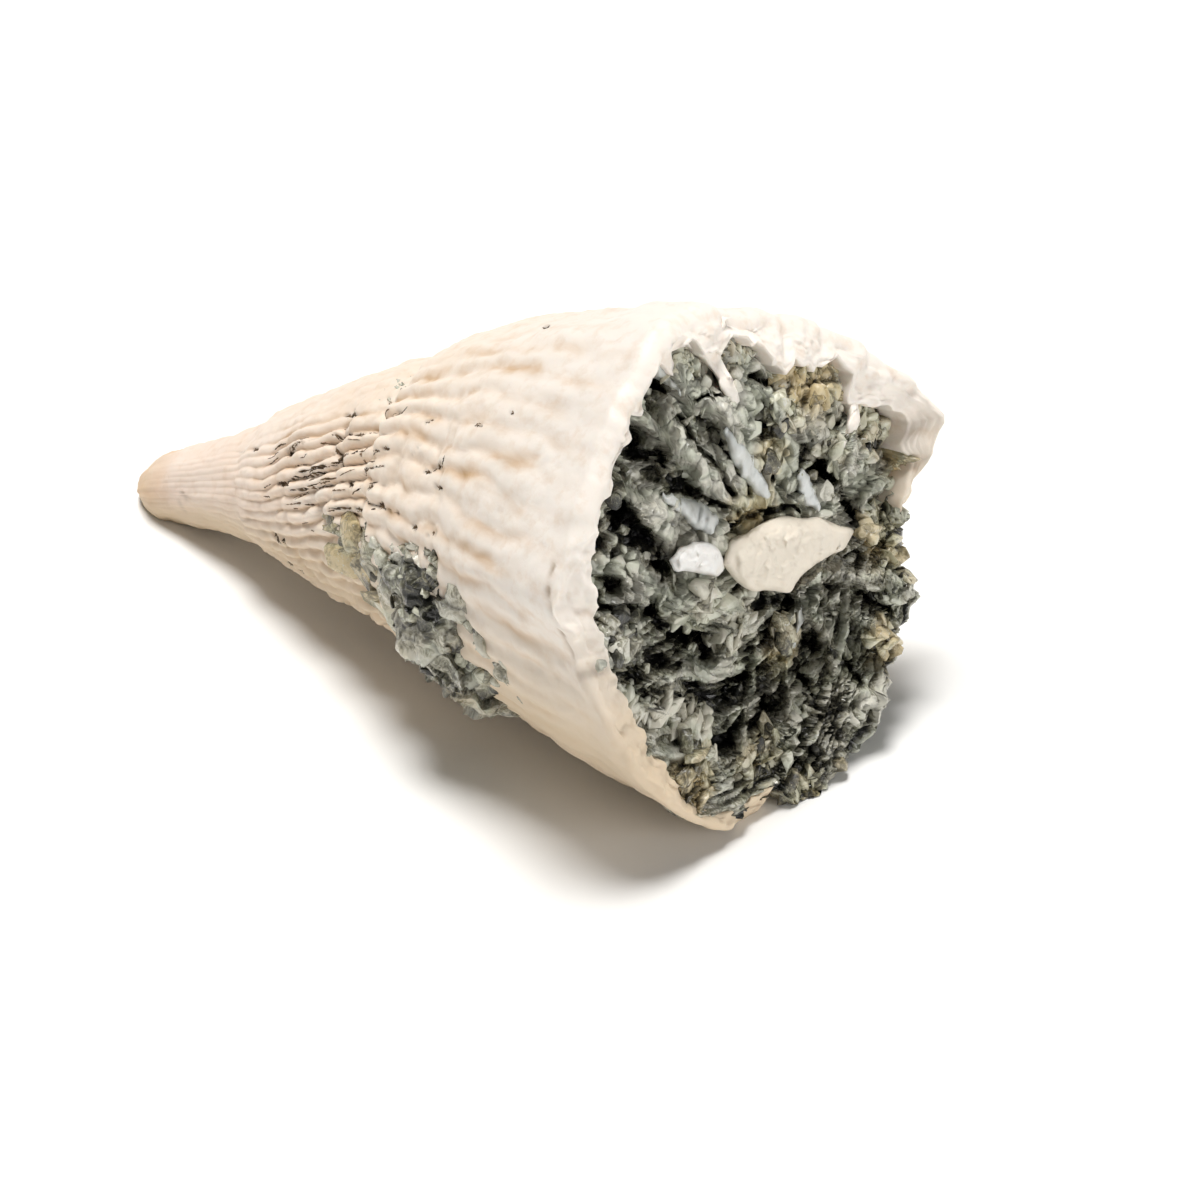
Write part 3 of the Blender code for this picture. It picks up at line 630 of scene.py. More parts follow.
def buildSepta():
    points, faces, tone = [], [], []
    steps, sides = septaLook["steps"], septaLook["sides"]
    for number, (run, height, paleness) in enumerate(septaLook["blades"]):
        line = smoothRun(run, steps)
        way = np.gradient(line[:, :2], axis=0)
        way /= np.hypot(way[:, 0], way[:, 1])[:, None]
        across = np.stack([-way[:, 1], way[:, 0]], -1)
        ends = np.sin(np.linspace(0.12, math.pi - 0.12, steps)) ** 0.4
        base = fillShape(line[:, 0], line[:, 1])[0]
        base = np.convolve(np.pad(base, 4, mode="edge"), np.ones(9) / 9, mode="valid")
        loops = []
        for k in range(sides):
            turn = math.pi * k / (sides - 1)
            wide = math.copysign(abs(math.cos(turn)) ** 0.6, math.cos(turn))
            high = math.sin(turn) ** 0.6
            spot = line[:, :2] + across * (line[:, 2] * wide)[:, None]
            shape = np.stack([spot[:, 0], spot[:, 1], base * 0 + number * 7.0], -1)
            rough = 0.14 * softNoise(shape * 2.2, 91) + 0.1 * softNoise(shape * 5.5, 92)
            spot = spot + across * (0.1 * softNoise(shape * 3.1, 93))[:, None]
            along = base + (height * ends + rough) * high - (1 - high) * septaLook["root"]
            spot = spot * keepInside(spot[:, 0], spot[:, 1])[:, None]
            loops.append(leanPoint(spot[:, 0], spot[:, 1], along))
        loops = np.stack(loops, 1)  # steps, sides, xyz
        start = sum(len(block) for block in points)
        points.append(loops.reshape(-1, 3))
        tone.append(np.full(steps * sides, paleness))
        for i in range(steps - 1):
            for k in range(sides):
                a, b = i * sides + k, i * sides + (k + 1) % sides
                faces.append((start + a, start + b, start + b + sides, start + a + sides))
        faces.append([start + k for k in range(sides)][::-1])
        faces.append([start + (steps - 1) * sides + k for k in range(sides)])
    return meshFrom("septa", np.concatenate(points), faces, {"paleness": np.concatenate(tone)})


# The columella in the middle and the swollen end of a septum beside it: outline as (side, up)
columellaLook = {
    "outline": ((-2.0, 0.7), (-1.4, 1.35), (-0.4, 1.3), (0.9, 1.25), (2.0, 1.0), (3.0, 0.5),
                (4.0, 0.1), (5.0, -0.65), (5.8, -1.2), (5.2, -1.65), (4.2, -1.6), (3.0, -1.6),
                (2.1, -1.7), (1.35, -1.95), (0.4, -1.45), (-0.7, -1.0), (-1.5, -0.2)),
    "middle": (1.0, -0.25), "height": 1.1, "root": 1.6, "tone": 0.15,
    "columns": 120, "rings": 40,
}
noduleLook = {
    "outline": ((-4.85, 2.1), (-4.0, 2.25), (-3.1, 2.1), (-2.2, 1.55), (-1.9, 0.75), (-2.3, 0.42),
                (-3.0, 0.7), (-3.9, 1.2), (-4.7, 1.6)),
    "middle": (-3.2, 1.35), "height": 0.9, "root": 1.4, "tone": 1.0,
    "columns": 72, "rings": 26,
}


def closedRun(outline, count):
    outline = np.array(outline + outline[:1], float)
    far = np.concatenate([[0], np.cumsum(np.hypot(*np.diff(outline, axis=0).T))])
    at = np.linspace(0, far[-1], count, endpoint=False)
    return np.stack([alongCurve(list(zip(far, outline[:, k])), at) for k in range(2)], -1)


def lumpPart(look, count, rings, height, root, toRim=False):
    # places and faces of one lump: rings out from its middle, then its root in the rock
    edge = closedRun(look["outline"], count)
    middle = np.array(look["middle"])
    shares = np.concatenate([np.linspace(0.02, 1.0, rings), np.ones(10)])
    sunk = np.concatenate([np.zeros(rings), np.linspace(0.1, 1.0, 10)])
    spots = middle + (edge - middle)[None] * (shares - 0.1 * sunk)[:, None, None]
    base = faceHeight(spots[..., 0], spots[..., 1])
    if toRim:
        radius = np.hypot(spots[..., 0], spots[..., 1])
        limit = insideRadius(faceAngle(spots[..., 0], spots[..., 1])) + 0.55
        spots = spots * np.minimum(1.0, limit / radius)[..., None]
        reach = softStep(radius, 7.6, 9.3)
        base = base * (1 - reach) + (hornForm["length"] - 0.55) * reach
    else:
        base = base * 0 + base.mean()
    dome = (1 - shares**3.2) ** 0.5
    along = base + height * (0.3 + 0.7 * dome)[:, None] - ((0.3 * height + root) * sunk)[:, None]
    flat = np.stack([spots[..., 0], spots[..., 1], along], -1)
    _, facet, _ = chipFacets(flat * 0.7, 101, 0.8)
    rough = 0.36 * facet + 0.2 * softNoise(flat * 0.8, 102)
    rough = rough + 0.12 * layeredNoise(flat * 2.2, 3, 103)
    fade = softStep(shares, 0.0, 0.45) * np.linspace(1, 0.2, len(shares))
    along = along + rough * min(1.0, 2 * height) * fade[:, None]
    side = 0.06 * layeredNoise(flat * 2.2, 2, 105)
    points = leanPoint(spots[..., 0] + side, spots[..., 1] - side, along).reshape(-1, 3)
    tip = leanPoint(middle[0], middle[1], along[0].mean())
    foot = leanPoint(middle[0], middle[1], along[-1].mean())
    return np.concatenate([points, [tip], [foot]]), closedGrid(len(shares), count)


def buildLump(name, look):
    points, faces = lumpPart(look, look["columns"], look["rings"], look["height"], look["root"])
    return meshFrom(name, points, faces, {"paleness": np.full(len(points), look["tone"])})


def buildTongues():
    points, faces, start = [], [], 0
    for tongue in septaLook["tongues"]:
        part, sides = lumpPart(tongue, septaLook["tongueColumns"], septaLook["tongueRings"],
                               septaLook["tongueHeight"], septaLook["tongueRoot"], toRim=True)
        points.append(part)
        faces += [[start + corner for corner in side] for side in sides]
        start += len(part)
    points = np.concatenate(points)
    zero = np.zeros(len(points))
    values = {"furrow": zero, "dark": zero, "grooveShade": zero, "under": zero, "along": zero + 37.0}
    return meshFrom("rimTongues", points, faces, values)


# Rock that fills the calice
fillLook = {
    "columns": 460,
    "rings": 150,
    "sideRings": 22,
    "lower": (95.0, 262.0, 20.0),  # first and last angle, how softly it ends
    # hollows, sunk and painted dark as shade: side, up, radius, depth
    "hollows": ((-3.45, 8.4, 0.5, 0.8), (-5.2, 7.1, 0.45, 0.9), (-7.2, 5.9, 0.42, 0.8),
                (-6.3, 6.0, 0.4, 0.6), (4.5, 2.0, 0.6, 1.2), (1.9, 2.6, 0.32, 0.6),
                (8.1, -1.2, 0.5, 0.8), (2.1, -4.5, 0.4, 0.7), (-1.2, -5.6, 0.28, 0.6),
                (-0.2, -9.2, 0.7, 0.9), (0.9, -8.7, 0.38, 0.6), (-3.2, -7.9, 0.4, 0.5),
                (5.8, -2.4, 0.4, 0.5), (9.9, 2.1, 0.35, 0.5),
                (7.1, 3.6, 0.3, 0.5), (1.0, -2.5, 0.3, 0.5), (-9.2, 1.2, 0.4, 0.5)),
    # clefts, sunk and painted dark as shade: run of (side, up), half width, depth
    "clefts": (
        (((-4.9, 5.6), (-4.2, 5.0), (-3.4, 4.5), (-2.6, 4.0)), 0.32, 0.8),
        (((-2.7, 6.7), (-2.0, 5.5), (-1.3, 4.3), (-0.6, 3.1)), 0.17, 0.7),
        (((-1.5, 6.6), (-0.8, 5.6), (-0.2, 4.2), (0.3, 2.8)), 0.15, 0.6),
        (((-5.6, 6.6), (-4.6, 6.1), (-3.8, 5.6)), 0.2, 0.6),
        (((-6.6, 4.8), (-6.1, 3.7), (-5.6, 2.7), (-5.1, 1.6)), 0.5, 1.2),
        (((-9.3, 3.0), (-8.6, 2.7), (-8.0, 2.3)), 0.28, 0.9),
        (((4.1, 2.8), (4.7, 2.0), (5.2, 1.1), (5.7, 0.1), (6.0, -0.7)), 0.34, 0.9),
        (((1.8, 6.8), (2.3, 6.4), (2.9, 6.0)), 0.2, 0.8),
        (((3.55, 7.1), (4.3, 6.9), (5.4, 6.4), (6.4, 5.8)), 0.13, 0.9),
        (((5.4, 3.4), (6.3, 3.4), (7.2, 3.9)), 0.14, 0.5),
        (((-1.9, 7.5), (-1.0, 7.3), (-0.3, 6.7)), 0.1, 0.5),
        (((-4.7, -0.6), (-4.5, -1.3), (-3.9, -2.1)), 0.34, 0.8),
        (((-6.6, 0.7), (-5.9, -0.3), (-5.0, -1.2)), 0.5, 0.9),
        (((-7.3, -0.9), (-6.5, -1.4), (-5.6, -1.9)), 0.3, 0.7),
        (((-5.1, -3.5), (-4.2, -4.0), (-3.3, -4.3)), 0.34, 0.7),
        (((5.4, -3.8), (6.1, -4.5), (6.9, -5.3)), 0.2, 0.5),
        (((-1.3, -1.25), (-0.5, -1.7), (0.5, -2.15), (1.6, -2.3)), 0.24, 0.6),
        (((-8.9, 2.2), (-7.6, 1.2), (-6.6, 0.6)), 0.2, 0.6),
        (((1.6, 5.2), (1.9, 4.6), (1.5, 4.2)), 0.12, 0.4),
        (((-2.7, 3.6), (-1.7, 3.1), (-0.8, 2.3)), 0.16, 0.5),
        (((-1.5, 1.9), (-0.4, 2.0), (0.8, 1.7), (2.0, 1.4), (3.0, 0.8)), 0.14, 0.4),
        (((-6.9, -2.8), (-5.9, -3.3)), 0.2, 0.5),
        (((3.2, -5.4), (3.9, -6.4), (4.3, -7.4)), 0.18, 0.4),
        (((-4.6, -5.6), (-3.4, -6.4)), 0.18, 0.4),
        (((0.9, -5.0), (1.4, -6.4), (1.5, -7.4)), 0.14, 0.4)),
    # pale rough ridges: run of (side, up), half width, height, how much lighter
    "ridgeHeight": 2.1,
    "ridgeTone": 1.9,
    "ridges": (
        (((-2.0, 7.6), (-1.2, 7.3), (-0.5, 6.5), (0.0, 5.7), (0.3, 5.0)), 0.42, 0.35, 0.42),
        (((-3.3, 7.0), (-2.8, 6.2), (-2.3, 5.5), (-1.7, 4.6), (-1.2, 3.9), (-0.7, 3.3),
          (0.0, 2.5)), 0.4, 0.4, 0.38),
        (((-4.3, 7.3), (-3.7, 6.6), (-3.0, 5.6), (-2.5, 5.0), (-1.9, 4.2), (-1.5, 3.4),
          (-0.9, 2.6)), 0.34, 0.3, 0.26),
        (((-6.9, 5.4), (-6.2, 5.2), (-5.6, 4.6), (-4.9, 4.1), (-4.2, 3.6)), 0.38, 0.35, 0.3),
        (((-6.4, 4.4), (-5.6, 3.9), (-4.9, 3.3), (-4.3, 2.9)), 0.3, 0.25, 0.2),
        (((-5.6, 2.6), (-4.9, 2.0), (-5.2, 1.0), (-6.0, 0.6)), 0.28, 0.2, 0.15),
        (((2.3, 6.2), (2.7, 5.2), (3.0, 4.2), (3.1, 3.2)), 0.5, 0.3, 0.3),
        (((4.4, 4.2), (5.3, 4.5), (6.2, 4.4)), 0.5, 0.25, 0.22),
        (((5.2, 0.6), (6.2, 1.2), (7.2, 2.4)), 0.35, 0.3, 0.25),
        (((2.2, -1.9), (3.6, -2.1), (5.0, -2.7), (6.6, -3.5), (8.0, -4.5), (8.9, -5.2)),
         0.36, 0.4, 0.24),
        (((3.0, -2.8), (4.4, -3.9), (5.6, -5.2), (6.6, -6.6)), 0.3, 0.3, 0.16),
        (((2.6, -3.1), (2.9, -3.9), (3.2, -4.9), (3.3, -6.2)), 0.3, 0.35, 0.24),
        (((-4.6, -2.6), (-3.8, -2.9), (-3.0, -2.9), (-2.2, -2.5), (-1.6, -2.0)), 0.3, 0.3, 0.4),
        (((-4.9, 0.1), (-3.8, -0.1), (-2.8, -0.4)), 0.55, 0.35, 0.3),
        (((-3.6, -3.5), (-2.8, -3.3), (-2.2, -3.6)), 0.28, 0.2, 0.2),
        (((-0.8, -3.8), (-0.2, -4.0), (0.5, -3.5)), 0.36, 0.3, 0.3),
        (((-0.8, -3.0), (-1.6, -4.4), (-2.4, -5.6), (-3.0, -6.8)), 0.3, 0.3, 0.2),
        (((0.6, -3.2), (0.4, -4.8), (0.2, -6.4), (-0.2, -7.8)), 0.3, 0.3, 0.18),
        (((6.2, -0.6), (7.5, -0.2), (9.0, 0.2), (10.4, 0.1)), 0.32, 0.35, 0.32),
        (((6.4, -1.5), (7.6, -1.8), (9.2, -2.0)), 0.28, 0.25, 0.2),
        (((-6.6, -1.9), (-5.2, -2.4), (-4.2, -3.2)), 0.3, 0.25, 0.16),
        (((-7.8, -4.4), (-6.6, -5.2), (-5.4, -6.0)), 0.35, 0.25, 0.25),
        (((-4.6, -7.4), (-3.4, -7.2), (-2.2, -6.8)), 0.35, 0.25, 0.2),
        (((3.4, -7.4), (4.6, -7.8), (5.6, -7.6)), 0.4, 0.3, 0.24)),
    # lighter swells: side, up, radius, how much lighter
    "swells": ((-3.7, -0.3, 1.2, 0.3), (-2.0, -2.2, 1.1, 0.35), (-5.8, -4.7, 0.9, 0.3),
               (-1.5, 4.2, 1.8, 0.2), (1.4, 7.9, 0.9, 0.3), (-1.8, 8.9, 0.9, 0.3),
               (5.6, 4.8, 1.0, 0.3), (2.6, 4.6, 1.5, 0.3), (0.6, 6.2, 1.2, 0.3),
               (2.6, -3.6, 0.9, 0.25), (-8.2, -2.9, 0.7, 0.5), (-7.2, -3.4, 0.6, 0.3),
               (-1.0, -7.8, 1.0, 0.15), (-6.0, -6.6, 1.0, 0.15),
               (6.6, -1.3, 0.6, 0.3), (5.2, 1.9, 0.9, 0.0), (1.6, -8.6, 0.6, 0.25),
               (-3.0, -5.2, 0.8, 0.1), (6.0, 2.4, 0.8, 0.2), (-8.8, 4.6, 0.7, 0.2),
               (0.0, -10.0, 0.5, 0.2), (3.4, 5.0, 0.8, 0.15)),
    # warm olive brown places: side, up, radius
    "warm": ((5.3, 5.8, 1.9), (2.0, 3.6, 0.9), (8.2, 2.0, 1.0), (7.6, -2.2, 1.3), (-6.2, -6.8, 1.1),
             (6.2, -6.2, 1.1), (-0.4, -9.9, 0.9), (0.2, 1.8, 1.6), (9.9, 2.1, 0.6),
             (-8.8, 4.6, 0.9), (0.2, -4.2, 1.0), (-2.4, -7.6, 1.1), (9.6, 0.2, 1.0)),
}


def lowerShare(angle):  # 1 in the lower half of the broken face, where the rock is drawn out
    return stretch(angle, *fillLook["lower"])


def fillRadius(angle):
    broken = softStep(-(rimTop(angle) - hornForm["length"]), 0.9, 1.6)
    outside = aroundRows(hornForm["rim"], angle, 1) - 0.1
    outside = outside + 0.22 * softNoise(noiseLine(angle * 0.3), 111)
    return (insideRadius(angle) + 0.25) * (1 - broken) + outside * broken, broken


def runDistance(side, up, run):
    away = np.full(side.shape, 99.0)
    for (x, y), (endX, endY) in zip(run, run[1:]):
        wayX, wayY = endX - x, endY - y
        share = np.clip(((side - x) * wayX + (up - y) * wayY) / (wayX**2 + wayY**2), 0.0, 1.0)
        away = np.minimum(away, np.hypot(side - x - share * wayX, up - y - share * wayY))
    return away


def ridged(points, seed):  # sharp crests that wander
    return 1 - np.minimum(1.0, 2.4 * np.abs(softNoise(points, seed)))


def fillShape(side, up):
    # height of the rock without its chips, how light it is, and how warm
    radius = np.hypot(side, up)
    angle = faceAngle(side, up)
    spot = np.stack([side, up, side * 0], -1)
    bentSide = side + 0.2 * softNoise(spot * 1.2, 113) + 0.08 * softNoise(spot * 3.3, 115)
    bentUp = up + 0.2 * softNoise(spot * 1.2, 114) + 0.08 * softNoise(spot * 3.3, 116)
    height = faceHeight(side, up)
    lower = lowerShare(angle)
    chamber = softStep(radius, 6.6, 7.8) * (1 - stretch(angle, 88.0, 268.0, 14.0))
    height = height - 0.45 * chamber
    bent = np.radians(angle) + 0.12 * softNoise(spot * 0.6, 117)
    fibre = np.stack([radius * 0.36, bent * np.maximum(radius, 2.0) * 1.15, radius * 0], -1)
    crest = ridged(fibre + 0.25 * softNoise(spot * 0.9, 112)[..., None], 118) * 0.65
    crest = crest + ridged(fibre * 2.1, 119) * 0.35
    height = height + (0.2 + 0.22 * lower) * (crest - 0.5) * softStep(radius, 1.5, 3.0)
    tone = 0.95 - 0.52 * lower + 0.4 * (crest - 0.5) + 0.2 * softNoise(spot * 0.5, 120)
    calm = np.zeros_like(side)
    for run, half, high, lift in fillLook["ridges"]:
        near = np.exp(-(runDistance(bentSide, bentUp, run) / half) ** 2)
        height = height + fillLook["ridgeHeight"] * high * near
        tone = tone + fillLook["ridgeTone"] * lift * near
        calm = np.maximum(calm, near)
    for x, y, size, lift in fillLook["swells"]:
        near = np.exp(-(np.hypot(side - x, up - y) / size) ** 3)
        tone = tone + lift * near
        height = height + 0.12 * near
    # painted shade: the hollows and clefts take the tone down to black as well as sinking the rock
    for x, y, size, depth in fillLook["hollows"]:
        near = np.exp(-(np.hypot(bentSide - x, bentUp - y) / size) ** 3)
        height = height - depth * near
        tone = tone * (1 - near)
    for run, half, depth in fillLook["clefts"]:
        near = np.exp(-(runDistance(bentSide, bentUp, run) / half) ** 3)
        height = height - depth * near
        tone = tone * (1 - near)
    warm = np.zeros_like(side)
    for x, y, size in fillLook["warm"]:
        warm = np.maximum(warm, np.exp(-(np.hypot(bentSide - x, bentUp - y) / size) ** 4))
    return height, tone, warm, calm


def chipRelief(points, stretched, chamber):
    # long chips that point at the middle, and small round grains between them
    number, facet, gap = chipFacets(stretched, 121, 0.85)
    near, smallGap, smallNumber, _ = chipCells(points * 1.7, 131)
    grain = 0.35 + 0.65 * chamber
    relief = 0.22 * number + 0.5 * facet + grain * (0.12 * smallNumber + 0.3 * (0.45 - near))
    # the seams between chips are sunk, and the same mask paints them near black as painted shade
    cracks = np.maximum(np.exp(-(gap / 0.1) ** 2), np.exp(-(smallGap / 0.12) ** 2) * grain)
    light = 0.36 * number + 0.3 * smallNumber * grain + 0.7 * facet
    return relief - 0.16 * cracks, light, cracks


def buildFill():
    count, rings = fillLook["columns"], fillLook["rings"]
    angle = np.arange(count) * 360.0 / count
    reach, broken = fillRadius(angle)
    side0, up0 = -np.sin(np.radians(angle)), np.cos(np.radians(angle))
    spots, fall, out = [], [], []
    for share in np.linspace(0.01, 1.0, rings) ** 0.85:
        inset = np.maximum(reach * share, 0.02)
        edge = np.clip((share - 0.93) / 0.07, 0, 1) * broken
        spots.append((side0 * inset, up0 * inset))
        fall.append(0.55 * edge**2)
        out.append(edge)
    side = np.array([spot[0] for spot in spots])
    up = np.array([spot[1] for spot in spots])
    along, light, warm, calm = fillShape(side, up)
    along = list(along - np.array(fall))
    neck = np.where(broken > 0.5, rimTop(angle) + 0.05, hornForm["length"] - 2.0)
    for share in np.linspace(0, 1, fillLook["sideRings"])[1:]:
        swell = 0.12 * math.sin(math.pi * share) * broken
        inset = reach + swell - 0.6 * share**3
        spots.append((side0 * inset, up0 * inset))
        along.append(along[rings - 1] * (1 - share) + neck * share)
        out.append(broken)
    spots.append((side0 * (reach - 1.2), up0 * (reach - 1.2)))
    along.append(neck - 0.4)
    out.append(broken * 0)
    side = np.array([spot[0] for spot in spots])
    up = np.array([spot[1] for spot in spots])
    along, out = np.array(along), np.array(out)
    more = len(spots) - rings
    light = np.concatenate([light, np.repeat(light[-1:], more, 0)])
    warm = np.concatenate([warm, np.repeat(warm[-1:], more, 0)])
    calm = np.concatenate([calm, np.repeat(calm[-1:], more, 0)])
    points = leanPoint(side, up, along)
    radius = np.hypot(side, up)
    turn = np.repeat(angle[None, :], len(spots), 0)
    lower = lowerShare(turn)
    chamber = softStep(radius, 5.5, 7.5) * (1 - lower)
    bend = 0.25 * softNoise(points * 0.9, 122)
    around = (np.radians(turn) + bend * 0.35) * np.maximum(radius, 2.0) * 1.35
    polar = np.stack([radius * 0.55, around, along * 0.8 + bend], -1)
    plain = np.stack([side * 1.15 + bend, up * 1.15 - bend, along * 0.8], -1)
    stretched = polar * lower[..., None] + plain * (1 - lower[..., None])
    relief, shine, crackShade = chipRelief(points, stretched, chamber)
    edge = softStep(radius / reach, 0.88, 1.0) * (1 - out)
    relief = relief * (1 - 0.6 * calm) * (1 - 0.55 * out) * (1 - 0.8 * edge)
    push = axisWay * (1 - out)[..., None] + outward(turn) * out[..., None]
    push = push / np.linalg.norm(push, axis=-1)[..., None]
    points = points + push * relief[..., None]
    points[..., 2] = np.maximum(points[..., 2], tableGap)
    flat = np.concatenate([points.reshape(-1, 3), [facePoint(0.0, 0.0, along[0].mean())],
                           [axisPoint(bowlFloor)]])
    data = {"tone": np.concatenate([(light + shine).ravel(), [0.5, 0.5]]),
            "warm": np.concatenate([warm.ravel(), [0, 0]]),
            "crackShade": np.concatenate([crackShade.ravel(), [0, 0]])}
    piece = meshFrom("caliceFill", flat, closedGrid(len(spots), count, turned=True), data)
    piece.data.set_sharp_from_angle(angle=math.radians(28))
    return piece


# Glassy grains set in the rock
grainLook = {
    "shapes": 24,
    "bevel": 0.13,
    "scattered": 200,
    "growth": 1.35,
    # side, up, spread across, spread up, how many, smallest, largest, how light, how warm
    "clusters": (
        (-1.8, 8.9, 0.8, 0.45, 60, 0.12, 0.26, 0.6, 0.3),
        (1.3, 8.0, 0.7, 0.45, 60, 0.12, 0.26, 0.6, 0.3),
        (5.2, 5.8, 1.5, 0.8, 75, 0.2, 0.42, 0.5, 1.0),
        (5.6, 4.8, 0.9, 0.5, 14, 0.35, 0.55, 0.55, 0.9),
        (8.3, 2.2, 0.8, 0.9, 60, 0.2, 0.42, 0.5, 0.4),
        (2.0, 3.5, 0.5, 0.6, 12, 0.35, 0.6, 0.42, 0.6),
        (5.2, 2.6, 1.0, 0.7, 60, 0.16, 0.4, 0.6, 0.2),
        (3.2, 4.8, 0.8, 0.7, 30, 0.2, 0.45, 0.5, 0.3),
        (8.2, -2.6, 0.7, 0.8, 30, 0.28, 0.55, 0.4, 0.8),
        (6.6, -1.2, 0.5, 0.3, 8, 0.35, 0.55, 0.6, 0.7),
        (-8.2, 0.6, 0.6, 0.8, 26, 0.3, 0.6, 0.3, 0.0),
        (-7.0, 5.6, 0.6, 0.5, 18, 0.25, 0.45, 0.3, 0.0),
        (-5.5, -4.7, 0.9, 0.6, 44, 0.22, 0.5, 0.6, 0.15),
        (-6.0, -6.6, 0.8, 0.9, 50, 0.22, 0.45, 0.45, 0.7),
        (-2.3, -7.6, 1.2, 0.7, 44, 0.22, 0.5, 0.42, 0.4),
        (-8.1, -2.8, 0.4, 0.6, 24, 0.14, 0.32, 0.9, 0.0),
        (-0.3, -9.9, 1.0, 0.4, 26, 0.25, 0.5, 0.42, 0.5),
        (-2.1, -2.2, 0.8, 0.7, 60, 0.14, 0.36, 0.72, 0.1),
        (-3.6, -0.2, 1.0, 0.5, 22, 0.35, 0.65, 0.6, 0.1),
        (0.5, -3.4, 0.9, 0.6, 24, 0.2, 0.45, 0.5, 0.4),
        (6.2, -5.9, 0.8, 0.6, 26, 0.22, 0.45, 0.4, 0.8),
        (-3.9, 8.2, 0.5, 0.5, 10, 0.15, 0.3, 0.7, 0.0),
        (-6.9, -3.4, 0.4, 0.3, 12, 0.2, 0.4, 0.8, 0.1),
        (8.9, -4.6, 0.4, 0.4, 12, 0.2, 0.4, 0.4, 0.5)),
    "clusterShare": 0.7,  # how much of each cluster is kept
    "faceReach": 9.6,  # mm from the axis that scattered grains reach
    "sideGrains": 60,
    "crustGrains": 60,
    "topFlakes": 46,
}


def grainShapes():
    draw = np.random.default_rng(5)
    shapes = []
    for _ in range(grainLook["shapes"]):
        cloud = draw.normal(size=(12, 3))
        cloud /= np.linalg.norm(cloud, axis=1)[:, None]
        cloud *= draw.uniform(0.8, 1.1, (12, 1))
        bm = bmesh.new()
        for point in cloud:
            bm.verts.new(point)
        hull = bmesh.ops.convex_hull(bm, input=bm.verts)
        loose = [v for v in hull["geom_interior"] if isinstance(v, bmesh.types.BMVert)]
        bmesh.ops.delete(bm, geom=loose, context="VERTS")
        bmesh.ops.bevel(bm, geom=bm.edges[:], offset=grainLook["bevel"], segments=1, affect="EDGES",
                        clamp_overlap=True)
        bmesh.ops.recalc_face_normals(bm, faces=bm.faces[:])
        bm.verts.index_update()
        shapes.append((np.array([v.co[:] for v in bm.verts]),
                       [[v.index for v in face.verts] for face in bm.faces]))
        bm.free()
    return shapes


def turnMatrix(way, spin):  # columns: along the grain, across it, and out of the rock
    out = way / np.linalg.norm(way)
    along = spin - out * (spin @ out)
    along /= np.linalg.norm(along)
    return np.stack([along, np.cross(out, along), out], 1)


def buildGrains(name, rows):
    # each row: place, way out, way along, sizes, how light, how warm
    draw = np.random.default_rng(23)
    shapes = grainShapes()
    points, faces, tones, warms, start = [], [], [], [], 0
    for place, out, along, size, tone, warm in rows:
        corners, sides = shapes[draw.integers(len(shapes))]
        turn = turnMatrix(out, along)
        spin, _ = np.linalg.qr(draw.normal(size=(3, 3)))
        if np.linalg.det(spin) < 0:
            spin[:, 0] *= -1
        turned = corners @ spin.T
        block = (turned * size) @ turn.T + place
        block[:, 2] = np.maximum(block[:, 2], tableGap)
        points.append(block)
        # painted shade and light: each grain is darker where it sinks into the rock and lighter
        # towards its top
        tones.append(tone + 0.32 * turned[:, 2] - 0.08)
        warms.append(np.full(len(block), warm))
        faces += [[start + corner for corner in side] for side in sides]
        start += len(block)
    values = {"tone": np.concatenate(tones), "warm": np.concatenate(warms),
              "crackShade": np.zeros(start)}
    piece = meshFrom(name, np.concatenate(points), faces, values)
    piece.data.set_sharp_from_angle(angle=math.radians(50))
    return piece


def faceGrainRows():
    draw = np.random.default_rng(29)
    spots = []
    for x, y, spreadX, spreadY, count, small, large, tone, warm in grainLook["clusters"]:
        for _ in range(int(count * grainLook["clusterShare"])):
            spots.append((x + draw.normal() * spreadX * 0.6, y + draw.normal() * spreadY * 0.6,
                          draw.uniform(small, large) * grainLook["growth"], tone, warm))
    for _ in range(grainLook["scattered"]):
        angle, share = draw.uniform(0, 2 * math.pi), math.sqrt(draw.uniform(0.05, 0.94))
        reach = grainLook["faceReach"] * share
        spots.append((reach * math.sin(angle), reach * math.cos(angle),
                      draw.uniform(0.2, 0.45), None, None))
    rows = []
    side, up = np.array([spot[0] for spot in spots]), np.array([spot[1] for spot in spots])
    angle = faceAngle(side, up)
    inside = np.minimum(1.0, (fillRadius(angle)[0] - 0.8) / np.hypot(side, up))
    side, up = side * inside, up * inside
    height, tones, warms, calm = fillShape(side, up)
    lower = lowerShare(angle)
    for k, (_, _, size, tone, warm) in enumerate(spots):
        if tone is None and calm[k] > 0.35:
            continue  # the pale ridges stay bare
        tone = tones[k] if tone is None else tone
        warm = warms[k] if warm is None else warm
        long = draw.uniform(1.0, 1.4) + lower[k] * draw.uniform(0.1, 0.7)
        sizes = size * np.array((long, draw.uniform(0.6, 0.9), draw.uniform(0.6, 0.95)))
        radial = -sectionSide * side[k] + sectionUp * up[k] + 0.01
        radial = radial / np.linalg.norm(radial) + draw.normal(size=3) * (0.9 - 0.55 * lower[k])
        place = leanPoint(side[k], up[k], height[k] - size * draw.uniform(0.0, 0.55))
        tone = float(np.clip(tone + 0.04 + draw.normal() * 0.22, 0.02, 1.15))
        rows.append((place, axisWay + draw.normal(size=3) * 0.3, radial, sizes, tone, warm))
    return rows


